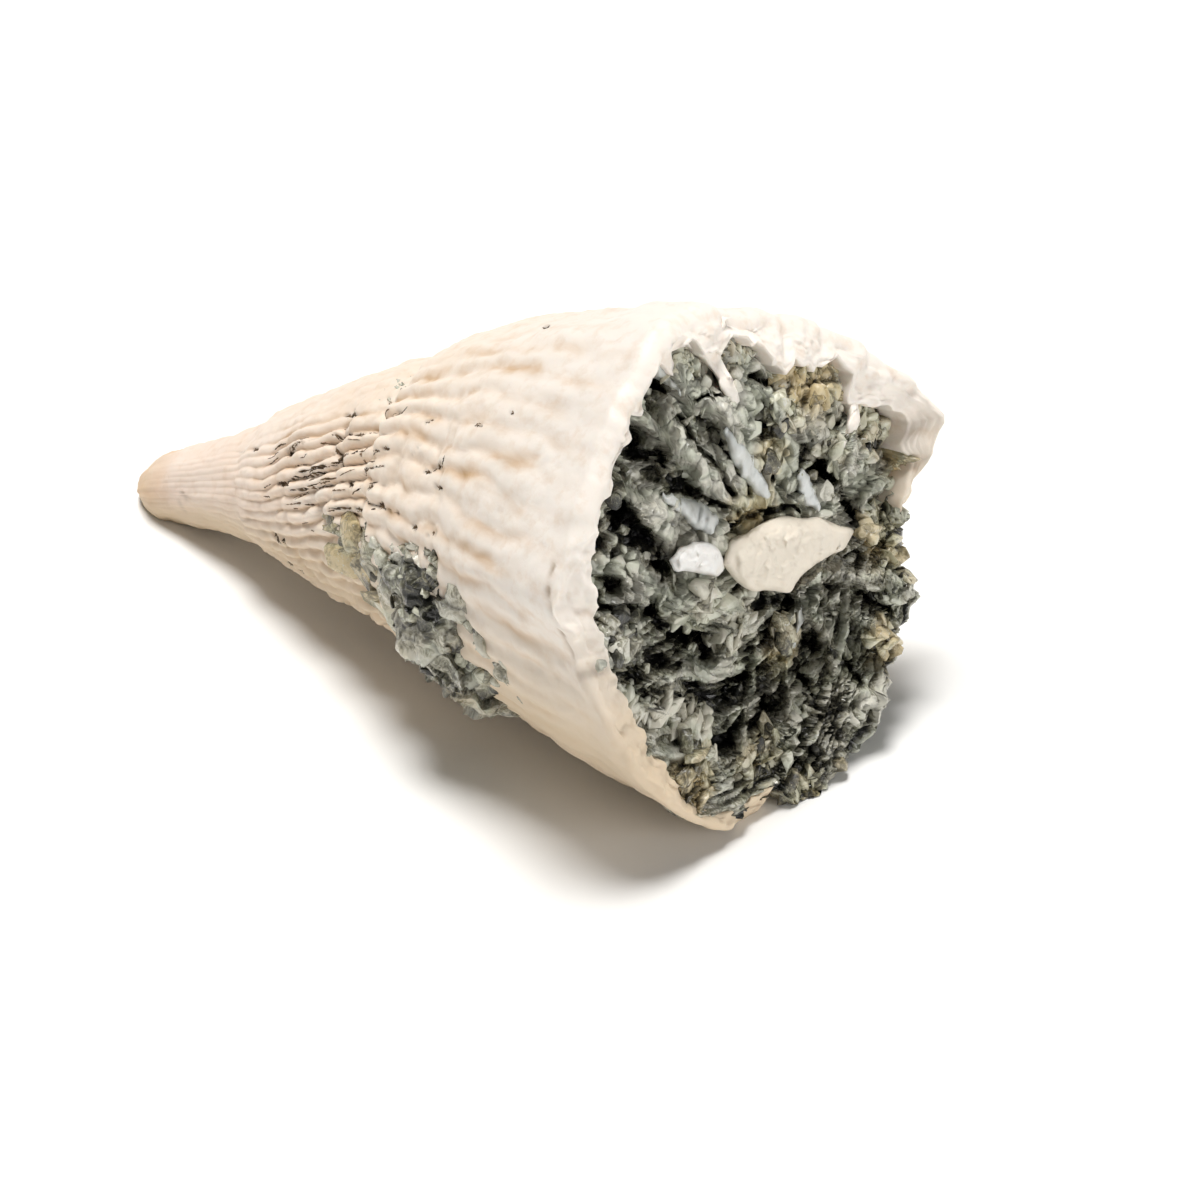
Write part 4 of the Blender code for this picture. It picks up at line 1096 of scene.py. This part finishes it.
# Lump of the same rock in the break on the lower side
sideLook = {
    "grainsPerLump": 5,
    "at": 25.8, "angle": 106.0,
    "size": (3.8, 3.8, 2.0),  # along the axis, around it, outwards
    "sink": 1.4,
    # hollows, sunk and painted dark as shade: along, angle, radius, depth
    "hollows": ((25.8, 87.5, 0.85, 1.0), (23.2, 92.0, 0.4, 0.5), (27.4, 97.0, 0.5, 0.4),
                (25.0, 98.0, 0.5, 0.4)),
    # smooth glassy lumps on the wall round it: along, angle, sizes, how light, how warm
    "lumps": (
        (18.6, 84.0, 1.7, 1.15, 0.45, 0.5, 1.0), (19.9, 88.5, 1.5, 1.2, 0.5, 0.5, 0.8),
        (17.3, 80.5, 0.9, 0.5, 0.2, 0.45, 0.9), (20.9, 82.5, 1.0, 0.75, 0.45, 0.5, 0.5),
        (18.6, 93.0, 1.5, 1.3, 0.4, 0.6, 1.0), (20.6, 95.0, 1.3, 1.4, 0.5, 0.5, 0.7),
        (22.2, 83.5, 0.75, 0.6, 0.5, 0.62, 0.1), (21.8, 79.2, 0.7, 0.45, 0.35, 0.75, 0.0),
        (23.3, 80.2, 0.6, 0.5, 0.4, 0.68, 0.0), (24.2, 77.6, 0.8, 0.4, 0.28, 0.6, 0.1),
        (25.2, 79.6, 0.6, 0.5, 0.4, 0.75, 0.1), (26.2, 80.5, 0.5, 0.6, 0.4, 0.5, 0.1),
        (24.4, 90.6, 0.42, 0.24, 0.45, 1.4, 0.0), (23.0, 88.0, 0.7, 0.7, 0.55, 0.5, 0.0),
        (27.4, 88.0, 0.5, 0.8, 0.4, 0.4, 0.1), (22.2, 96.0, 0.9, 0.8, 0.6, 0.45, 0.2),
        (28.4, 97.0, 0.7, 1.0, 0.35, 0.55, 0.1), (29.0, 105.0, 0.8, 1.0, 0.35, 0.5, 0.2),
        (24.6, 104.0, 1.2, 1.1, 0.6, 0.6, 0.2), (27.0, 108.0, 1.3, 1.2, 0.6, 0.65, 0.3),
        (22.0, 104.0, 1.3, 1.6, 0.35, 0.55, 0.4), (20.6, 103.0, 1.1, 1.2, 0.3, 0.55, 0.8),
        (21.2, 89.5, 1.0, 1.0, 0.4, 0.45, 0.3), (22.6, 92.0, 1.0, 1.0, 0.4, 0.25, 0.1)),
}


def sideFrame():
    middle, out = wallSpot(sideLook["at"], sideLook["angle"], -sideLook["sink"])
    return middle, np.stack([axisWay, np.cross(axisWay, out), out], 1)


def sphere(subdivisions):
    bm = bmesh.new()
    bmesh.ops.create_icosphere(bm, subdivisions=subdivisions, radius=1.0)
    unit = np.array([v.co[:] for v in bm.verts])
    faces = [[v.index for v in face.verts] for face in bm.faces]
    bm.free()
    return unit, faces


def buildSideFill():
    unit, faces = sphere(7)
    middle, axes = sideFrame()
    size = np.array(sideLook["size"]) + 0.1
    lumps = 1 + 0.12 * (softNoise(unit * 2.6, 141) + 0.6 * softNoise(unit * 5.2, 142))
    spot = middle + (unit * size * lumps[:, None]) @ axes.T
    bent = spot * (0.7, 0.95, 0.8) + 0.45 * softNoise(spot * 0.9, 143)[:, None]
    number, facet, gap = chipFacets(bent, 144, 0.9)
    relief = 0.5 * facet + 0.22 * number + 0.2 * layeredNoise(spot * 1.4, 3, 145)
    # painted shade: the seams between chips are painted near black
    crackShade = np.exp(-(gap / 0.07) ** 2)
    tone = 0.45 + 0.3 * number + 0.4 * facet + 0.3 * softNoise(spot * 1.3, 146)
    # painted shade: each hollow takes the tone down to black as well as sinking the rock
    for along, angle, radius, depth in sideLook["hollows"]:
        away = np.linalg.norm(spot - wallSpot(along, angle, 0.0)[0], axis=1)
        deep = np.exp(-(away / radius) ** 3)
        relief = relief - depth * deep
        tone = tone * (1 - deep)
    normal = (unit / size) @ axes.T
    normal /= np.linalg.norm(normal, axis=1)[:, None]
    spot = spot + normal * relief[:, None]
    spot[:, 2] = np.maximum(spot[:, 2], tableGap)
    warm = 0.35 * np.clip(softNoise(spot * 0.8, 147) + 0.3, 0, 1)
    piece = meshFrom("sideFill", spot, faces, {"tone": tone, "crackShade": crackShade, "warm": warm})
    piece.data.set_sharp_from_angle(angle=math.radians(35))
    return piece


def sideLumpRows():  # large angular grains pressed into the wall round the lump
    draw = np.random.default_rng(41)
    rows = []
    for along, angle, long, wide, high, tone, warm in sideLook["lumps"]:
        for k in range(sideLook["grainsPerLump"]):
            place = along + (draw.normal() * 0.4 * long if k else 0.0)
            turn = angle + (draw.normal() * 0.4 * wide * 8.0 if k else 0.0)
            sizes = np.array((long, wide, 1.15 * high)) * (draw.uniform(0.35, 0.6) if k else 0.95)
            spot, out = wallSpot(place, turn, -0.25 * sizes[2])
            way = axisWay + draw.normal(size=3) * 0.35
            shade = float(np.clip(tone + draw.normal() * (0.22 if k else 0.06), 0.05, 1.4))
            rows.append((spot, out + draw.normal(size=3) * 0.15, way, sizes, shade, warm))
    return rows


def sideGrainRows():
    draw = np.random.default_rng(37)
    middle, axes = sideFrame()
    size = np.array(sideLook["size"])
    rows = []
    while len(rows) < grainLook["sideGrains"]:
        unit = draw.normal(size=3)
        unit /= np.linalg.norm(unit)
        if unit[2] < 0.1:
            continue
        place = middle + axes @ (unit * size)
        out = axes @ (unit / size)
        grain = draw.uniform(0.16, 0.36)
        sizes = grain * np.array((draw.uniform(1.0, 1.6), draw.uniform(0.6, 1.0),
                                  draw.uniform(0.5, 0.8)))
        tone = float(np.clip(draw.normal(0.45, 0.22), 0, 1))
        rows.append((place, out, draw.normal(size=3), sizes, tone, 0.2))
    # a thin crust of grains on the wall above the lump, and a patch of it on top of the horn
    for _ in range(grainLook["crustGrains"]):
        along = draw.uniform(19.5, 27.2)
        angle = 78.0 + draw.normal() * 1.4
        rows.append(crustGrain(draw, along, angle, draw.uniform(0.1, 0.24)))
    for _ in range(grainLook["topFlakes"]):
        angle = draw.uniform(7.0, 26.0)
        along = 20.2 - (angle - 7.0) * 0.06 + draw.normal() * 0.28
        place, out, way, sizes = crustGrain(draw, along, angle, draw.uniform(0.14, 0.3))[:4]
        way = axisWay + 0.7 * np.cross(axisWay, out) + 0.2 * way
        rows.append((place, out, way, sizes * (1.5, 0.6, 0.8), draw.uniform(0.35, 0.95), 0.15))
    return rows


def crustGrain(draw, along, angle, size):
    place, out = wallSpot(along, angle, -0.08)
    sizes = size * np.array((draw.uniform(1.0, 1.5), draw.uniform(0.7, 1.0), 0.55))
    return place, out, draw.normal(size=3), sizes, float(np.clip(draw.normal(0.42, 0.2), 0, 1)), 0.1


# Materials
coralLook = {
    "pale": (0.90, 0.835, 0.765), "cream": (0.89, 0.755, 0.62), "blush": (0.89, 0.71, 0.59),
    "ochre": (0.60, 0.38, 0.19), "tip": (0.72, 0.50, 0.30), "dark": (0.03, 0.022, 0.014),
    # the under colour is painted shade for the underside, and the last colour is painted shade for
    # the bead grooves and the fold line
    "under": (0.66, 0.52, 0.35), "grooveShade": (0.36, 0.25, 0.15),
}
markColour = {"deep": (0.03, 0.022, 0.014), "rim": (0.22, 0.15, 0.09)}
rockLook = {
    "ramp": ((0.0, (0.007, 0.007, 0.005)), (0.22, (0.045, 0.042, 0.029)),
             (0.44, (0.20, 0.188, 0.138)), (0.66, (0.48, 0.462, 0.375)),
             (0.88, (0.86, 0.845, 0.77))),
    "warmTint": (1.0, 0.83, 0.54),
    "coolTint": (0.95, 1.0, 0.96),
    # the glint colour is a painted highlight, and the crack colour is painted shade for the seams
    "paintedGlint": (0.70, 0.71, 0.66), "crackShade": (0.008, 0.009, 0.008),
}
septaColour = {"stone": (0.40, 0.39, 0.33), "white": (0.72, 0.75, 0.75)}
columellaColour = {"cream": (0.79, 0.71, 0.59), "white": (0.86, 0.85, 0.83)}


def newMaterial(name, roughness):
    material = bpy.data.materials.new(name)
    material.use_nodes = True
    tree = material.node_tree
    shader = tree.nodes["Principled BSDF"]
    shader.inputs["Roughness"].default_value = roughness
    return material, tree, shader


def attribute(tree, name):
    node = tree.nodes.new("ShaderNodeAttribute")
    node.attribute_name = name
    return node.outputs["Fac"]


def noiseNode(tree, scale, detail=4.0, distortion=0.0, roughness=0.6, squash=None):
    coordinates = tree.nodes.new("ShaderNodeTexCoord")
    node = tree.nodes.new("ShaderNodeTexNoise")
    node.inputs["Scale"].default_value = scale
    node.inputs["Detail"].default_value = detail
    node.inputs["Distortion"].default_value = distortion
    node.inputs["Roughness"].default_value = roughness
    mapping = tree.nodes.new("ShaderNodeMapping")
    mapping.inputs["Rotation"].default_value = (0.0, climb, 0.0)
    mapping.inputs["Scale"].default_value = squash or (1.0, 1.0, 1.0)
    tree.links.new(coordinates.outputs["Object"], mapping.inputs["Vector"])
    tree.links.new(mapping.outputs["Vector"], node.inputs["Vector"])
    return node.outputs["Fac"]


def rampNode(tree, value, stops):
    node = tree.nodes.new("ShaderNodeValToRGB")
    ramp = node.color_ramp
    while len(ramp.elements) < len(stops):
        ramp.elements.new(0.5)
    for element, (place, colour) in zip(ramp.elements, stops):
        element.position = place
        element.color = (*colour, 1.0) if isinstance(colour, tuple) else (colour,) * 3 + (1.0,)
    tree.links.new(value, node.inputs["Fac"])
    return node.outputs["Color"]


def mixNode(tree, share, first, second, blend="MIX"):
    node = tree.nodes.new("ShaderNodeMix")
    node.data_type = "RGBA"
    node.blend_type = blend
    for socket, value in (("Factor", share), ("A", first), ("B", second)):
        target = [s for s in node.inputs if s.name == socket and s.enabled][0]
        if isinstance(value, tuple):
            target.default_value = (*value, 1.0)
        elif isinstance(value, float):
            target.default_value = value
        else:
            tree.links.new(value, target)
    return [s for s in node.outputs if s.enabled][0]


def mathNode(tree, operation, first, second):
    node = tree.nodes.new("ShaderNodeMath")
    node.operation = operation
    node.use_clamp = True
    for socket, value in zip(node.inputs, (first, second)):
        if isinstance(value, float):
            socket.default_value = value
        else:
            tree.links.new(value, socket)
    return node.outputs["Value"]


def bumpNode(tree, height, strength, distance):
    node = tree.nodes.new("ShaderNodeBump")
    node.inputs["Strength"].default_value = strength
    node.inputs["Distance"].default_value = distance
    tree.links.new(height, node.inputs["Height"])
    return node.outputs["Normal"]


def coralMaterial():
    material, tree, shader = newMaterial("weatheredCoral", 0.55)
    along = attribute(tree, "along")
    patches = noiseNode(tree, 260.0, 5.0)
    fine = noiseNode(tree, 1500.0, 4.0)
    streaks = noiseNode(tree, 900.0, 3.0, 0.4, squash=(0.22, 1.0, 1.0))
    share = mathNode(tree, "DIVIDE", along, 36.0)
    body = rampNode(tree, share, ((0.0, coralLook["tip"]), (0.035, coralLook["tip"]),
                                         (0.1, coralLook["blush"]), (0.55, coralLook["cream"]),
                                         (0.9, coralLook["pale"])))
    paler = rampNode(tree, patches, ((0.42, 0.0), (0.62, 1.0)))
    colour = mixNode(tree, mathNode(tree, "MULTIPLY", paler, 0.35), body,
                     coralLook["pale"])
    stain = mathNode(tree, "MULTIPLY", attribute(tree, "furrow"),
                     rampNode(tree, streaks, ((0.36, 0.15), (0.66, 1.0))))
    colour = mixNode(tree, stain, colour, coralLook["ochre"])
    specks = rampNode(tree, fine, ((0.28, 0.25), (0.5, 0.0)))
    colour = mixNode(tree, specks, colour, coralLook["ochre"])
    # painted shade: the underside is mixed towards the darker under tan
    under = mathNode(tree, "MULTIPLY", attribute(tree, "under"), 0.85)
    colour = mixNode(tree, under, colour, coralLook["under"])
    # painted shade in the bead grooves and the fold line
    grooveShade = mathNode(tree, "MULTIPLY", attribute(tree, "grooveShade"), 0.5)
    colour = mixNode(tree, grooveShade, colour, coralLook["grooveShade"])
    colour = mixNode(tree, attribute(tree, "dark"), colour, coralLook["dark"])
    tree.links.new(colour, shader.inputs["Base Color"])
    shader.inputs["Subsurface Weight"].default_value = 0.12
    shader.inputs["Subsurface Radius"].default_value = (1.0, 0.7, 0.5)
    shader.inputs["Subsurface Scale"].default_value = 0.0006
    tree.links.new(rampNode(tree, patches, ((0.3, 0.42), (0.7, 0.68))), shader.inputs["Roughness"])
    tree.links.new(bumpNode(tree, fine, 0.35, 0.00008), shader.inputs["Normal"])
    return material


def rockMaterial(name):
    material, tree, shader = newMaterial(name, 0.25)
    tone = attribute(tree, "tone")
    veins = noiseNode(tree, 1700.0, 6.0, 2.2, 0.66)
    clouds = noiseNode(tree, 600.0, 3.0, 0.6)
    paintedGlints = noiseNode(tree, 3600.0, 3.0, 1.2)
    shifted = mathNode(tree, "ADD", tone,
                       rampNode(tree, veins, ((0.3, 0.0), (0.48, 0.22), (0.7, 0.6))))
    shifted = mathNode(tree, "SUBTRACT", shifted, 0.25)
    colour = rampNode(tree, shifted, rockLook["ramp"])
    cooler = mixNode(tree, 1.0, colour, rockLook["coolTint"], "MULTIPLY")
    colour = mixNode(tree, rampNode(tree, clouds, ((0.42, 1.0), (0.56, 0.0))), colour,
                     cooler)
    tinted = mixNode(tree, 1.0, colour, rockLook["warmTint"], "MULTIPLY")
    warm = mathNode(tree, "MULTIPLY", attribute(tree, "warm"),
                    rampNode(tree, clouds, ((0.3, 0.35), (0.55, 1.0))))
    colour = mixNode(tree, warm, colour, tinted)
    # painted highlight: bright specks on the lighter rock stand in for glints of light on the
    # crystals
    light = mathNode(tree, "MULTIPLY", rampNode(tree, paintedGlints, ((0.62, 0.0), (0.7, 1.0))),
                     rampNode(tree, shifted, ((0.2, 0.0), (0.5, 0.8))))
    colour = mixNode(tree, light, colour, rockLook["paintedGlint"])
    # painted shade: the seams between chips are darkened to near black
    crackShade = mathNode(tree, "MULTIPLY", attribute(tree, "crackShade"), 0.6)
    colour = mixNode(tree, crackShade, colour, rockLook["crackShade"])
    tree.links.new(colour, shader.inputs["Base Color"])
    tree.links.new(rampNode(tree, clouds, ((0.3, 0.1), (0.7, 0.34))), shader.inputs["Roughness"])
    shader.inputs["Specular IOR Level"].default_value = 0.55
    shader.inputs["Coat Weight"].default_value = 0.3
    shader.inputs["Coat Roughness"].default_value = 0.1
    tree.links.new(bumpNode(tree, veins, 0.6, 0.0001), shader.inputs["Normal"])
    return material


def markMaterial():
    material, tree, shader = newMaterial("darkCrevice", 0.7)
    cloud = noiseNode(tree, 1800.0, 3.0)
    shader.inputs["Specular IOR Level"].default_value = 0.1
    colour = rampNode(tree, cloud, ((0.35, markColour["deep"]), (0.62, markColour["rim"])))
    tree.links.new(colour, shader.inputs["Base Color"])
    return material


def paleMaterial(name, low, high, roughness):
    material, tree, shader = newMaterial(name, roughness)
    cloud = noiseNode(tree, 700.0, 4.0, 0.4)
    fine = noiseNode(tree, 2200.0, 4.0)
    share = mathNode(tree, "MULTIPLY", attribute(tree, "paleness"),
                     rampNode(tree, cloud, ((0.3, 0.6), (0.6, 1.0))))
    colour = mixNode(tree, share, low, high)
    specks = rampNode(tree, fine, ((0.28, 0.3), (0.42, 0.0)))
    colour = mixNode(tree, specks, colour, tuple(c * 0.55 for c in low))
    tree.links.new(colour, shader.inputs["Base Color"])
    shader.inputs["Subsurface Weight"].default_value = 0.12
    shader.inputs["Subsurface Radius"].default_value = (1.0, 0.8, 0.7)
    shader.inputs["Subsurface Scale"].default_value = 0.0005
    tree.links.new(bumpNode(tree, fine, 0.4, 0.00008), shader.inputs["Normal"])
    return material


# Table and light
studioLook = {
    "table": (0.93, 0.93, 0.92),
    # direction the light comes from, its width in degrees, strength, colour
    "lamps": {"lampAbove": ((-0.16, 0.04, 1.0), 24.0, 3.4, (1.0, 0.985, 0.965)),
              "lampBeside": ((1.0, 0.12, 0.3), 30.0, 0.95, (1.0, 0.99, 0.97))},
    # how bright the surround is at a height over the horizon
    "surround": ((0.0, 0.55), (0.14, 0.55), (0.34, 0.12), (1.0, 0.12)),
    "surroundColour": (1.0, 0.99, 0.97),
}


def buildStudio():
    bm = bmesh.new()
    bmesh.ops.create_grid(bm, x_segments=8, y_segments=8, size=3.0)
    mesh = bpy.data.meshes.new("tableTop")
    bm.to_mesh(mesh)
    bm.free()
    floor = bpy.data.objects.new("tableTop", mesh)
    scene.collection.objects.link(floor)
    material, tree, shader = newMaterial("paleTable", 0.6)
    shader.inputs["Base Color"].default_value = (*studioLook["table"], 1.0)
    mesh.materials.append(material)
    for name, (way, width, strength, colour) in studioLook["lamps"].items():
        data = bpy.data.lights.new(name, "SUN")
        data.angle = math.radians(width)
        data.energy = strength
        data.color = colour
        lamp = bpy.data.objects.new(name, data)
        lamp.location = Vector(way) * 0.4
        lamp.rotation_euler = (-Vector(way)).to_track_quat("-Z", "Y").to_euler()
        scene.collection.objects.link(lamp)
    world = bpy.data.worlds.new("studio")
    world.use_nodes = True
    tree = world.node_tree
    sky = tree.nodes["Background"]
    sky.inputs["Color"].default_value = (*studioLook["surroundColour"], 1.0)
    direction = tree.nodes.new("ShaderNodeTexCoord")
    parts = tree.nodes.new("ShaderNodeSeparateXYZ")
    tree.links.new(direction.outputs["Generated"], parts.inputs["Vector"])
    brightness = rampNode(tree, parts.outputs["Z"], studioLook["surround"])
    tree.links.new(brightness, sky.inputs["Strength"])
    scene.world = world
    scene.view_settings.view_transform = "Standard"


def finishPiece(piece, node, material):
    piece.data.materials.append(material)
    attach(piece, "root")
    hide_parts(node)
    print(piece.name, len(piece.data.polygons), "faces")


coral = coralMaterial()
finishPiece(buildWall(), "corallite", coral)
finishPiece(buildTongues(), "corallite", coral)
finishPiece(buildMarks(), "corallite", markMaterial())
blade = paleMaterial("septumStone", septaColour["stone"], septaColour["white"], 0.4)
finishPiece(buildSepta(), "corallite", blade)
creamStone = paleMaterial("columellaStone", columellaColour["cream"], columellaColour["white"], 0.5)
finishPiece(buildLump("columella", columellaLook), "corallite", creamStone)
finishPiece(buildLump("swollenSeptumEnd", noduleLook), "corallite", creamStone)
print("horn done")

caliceRock = rockMaterial("caliceRock")
finishPiece(buildFill(), "calice_matrix", caliceRock)
caliceGrains = buildGrains("caliceGrains", faceGrainRows())
finishPiece(caliceGrains, "calice_matrix", caliceRock)
sideRock = rockMaterial("sideRock")
finishPiece(buildSideFill(), "side_matrix", sideRock)
finishPiece(buildGrains("sideLumps", sideLumpRows()), "side_matrix", sideRock)
finishPiece(buildGrains("sideGrains", sideGrainRows()), "side_matrix", sideRock)
print("rock done")

buildStudio()
print("table and light done")
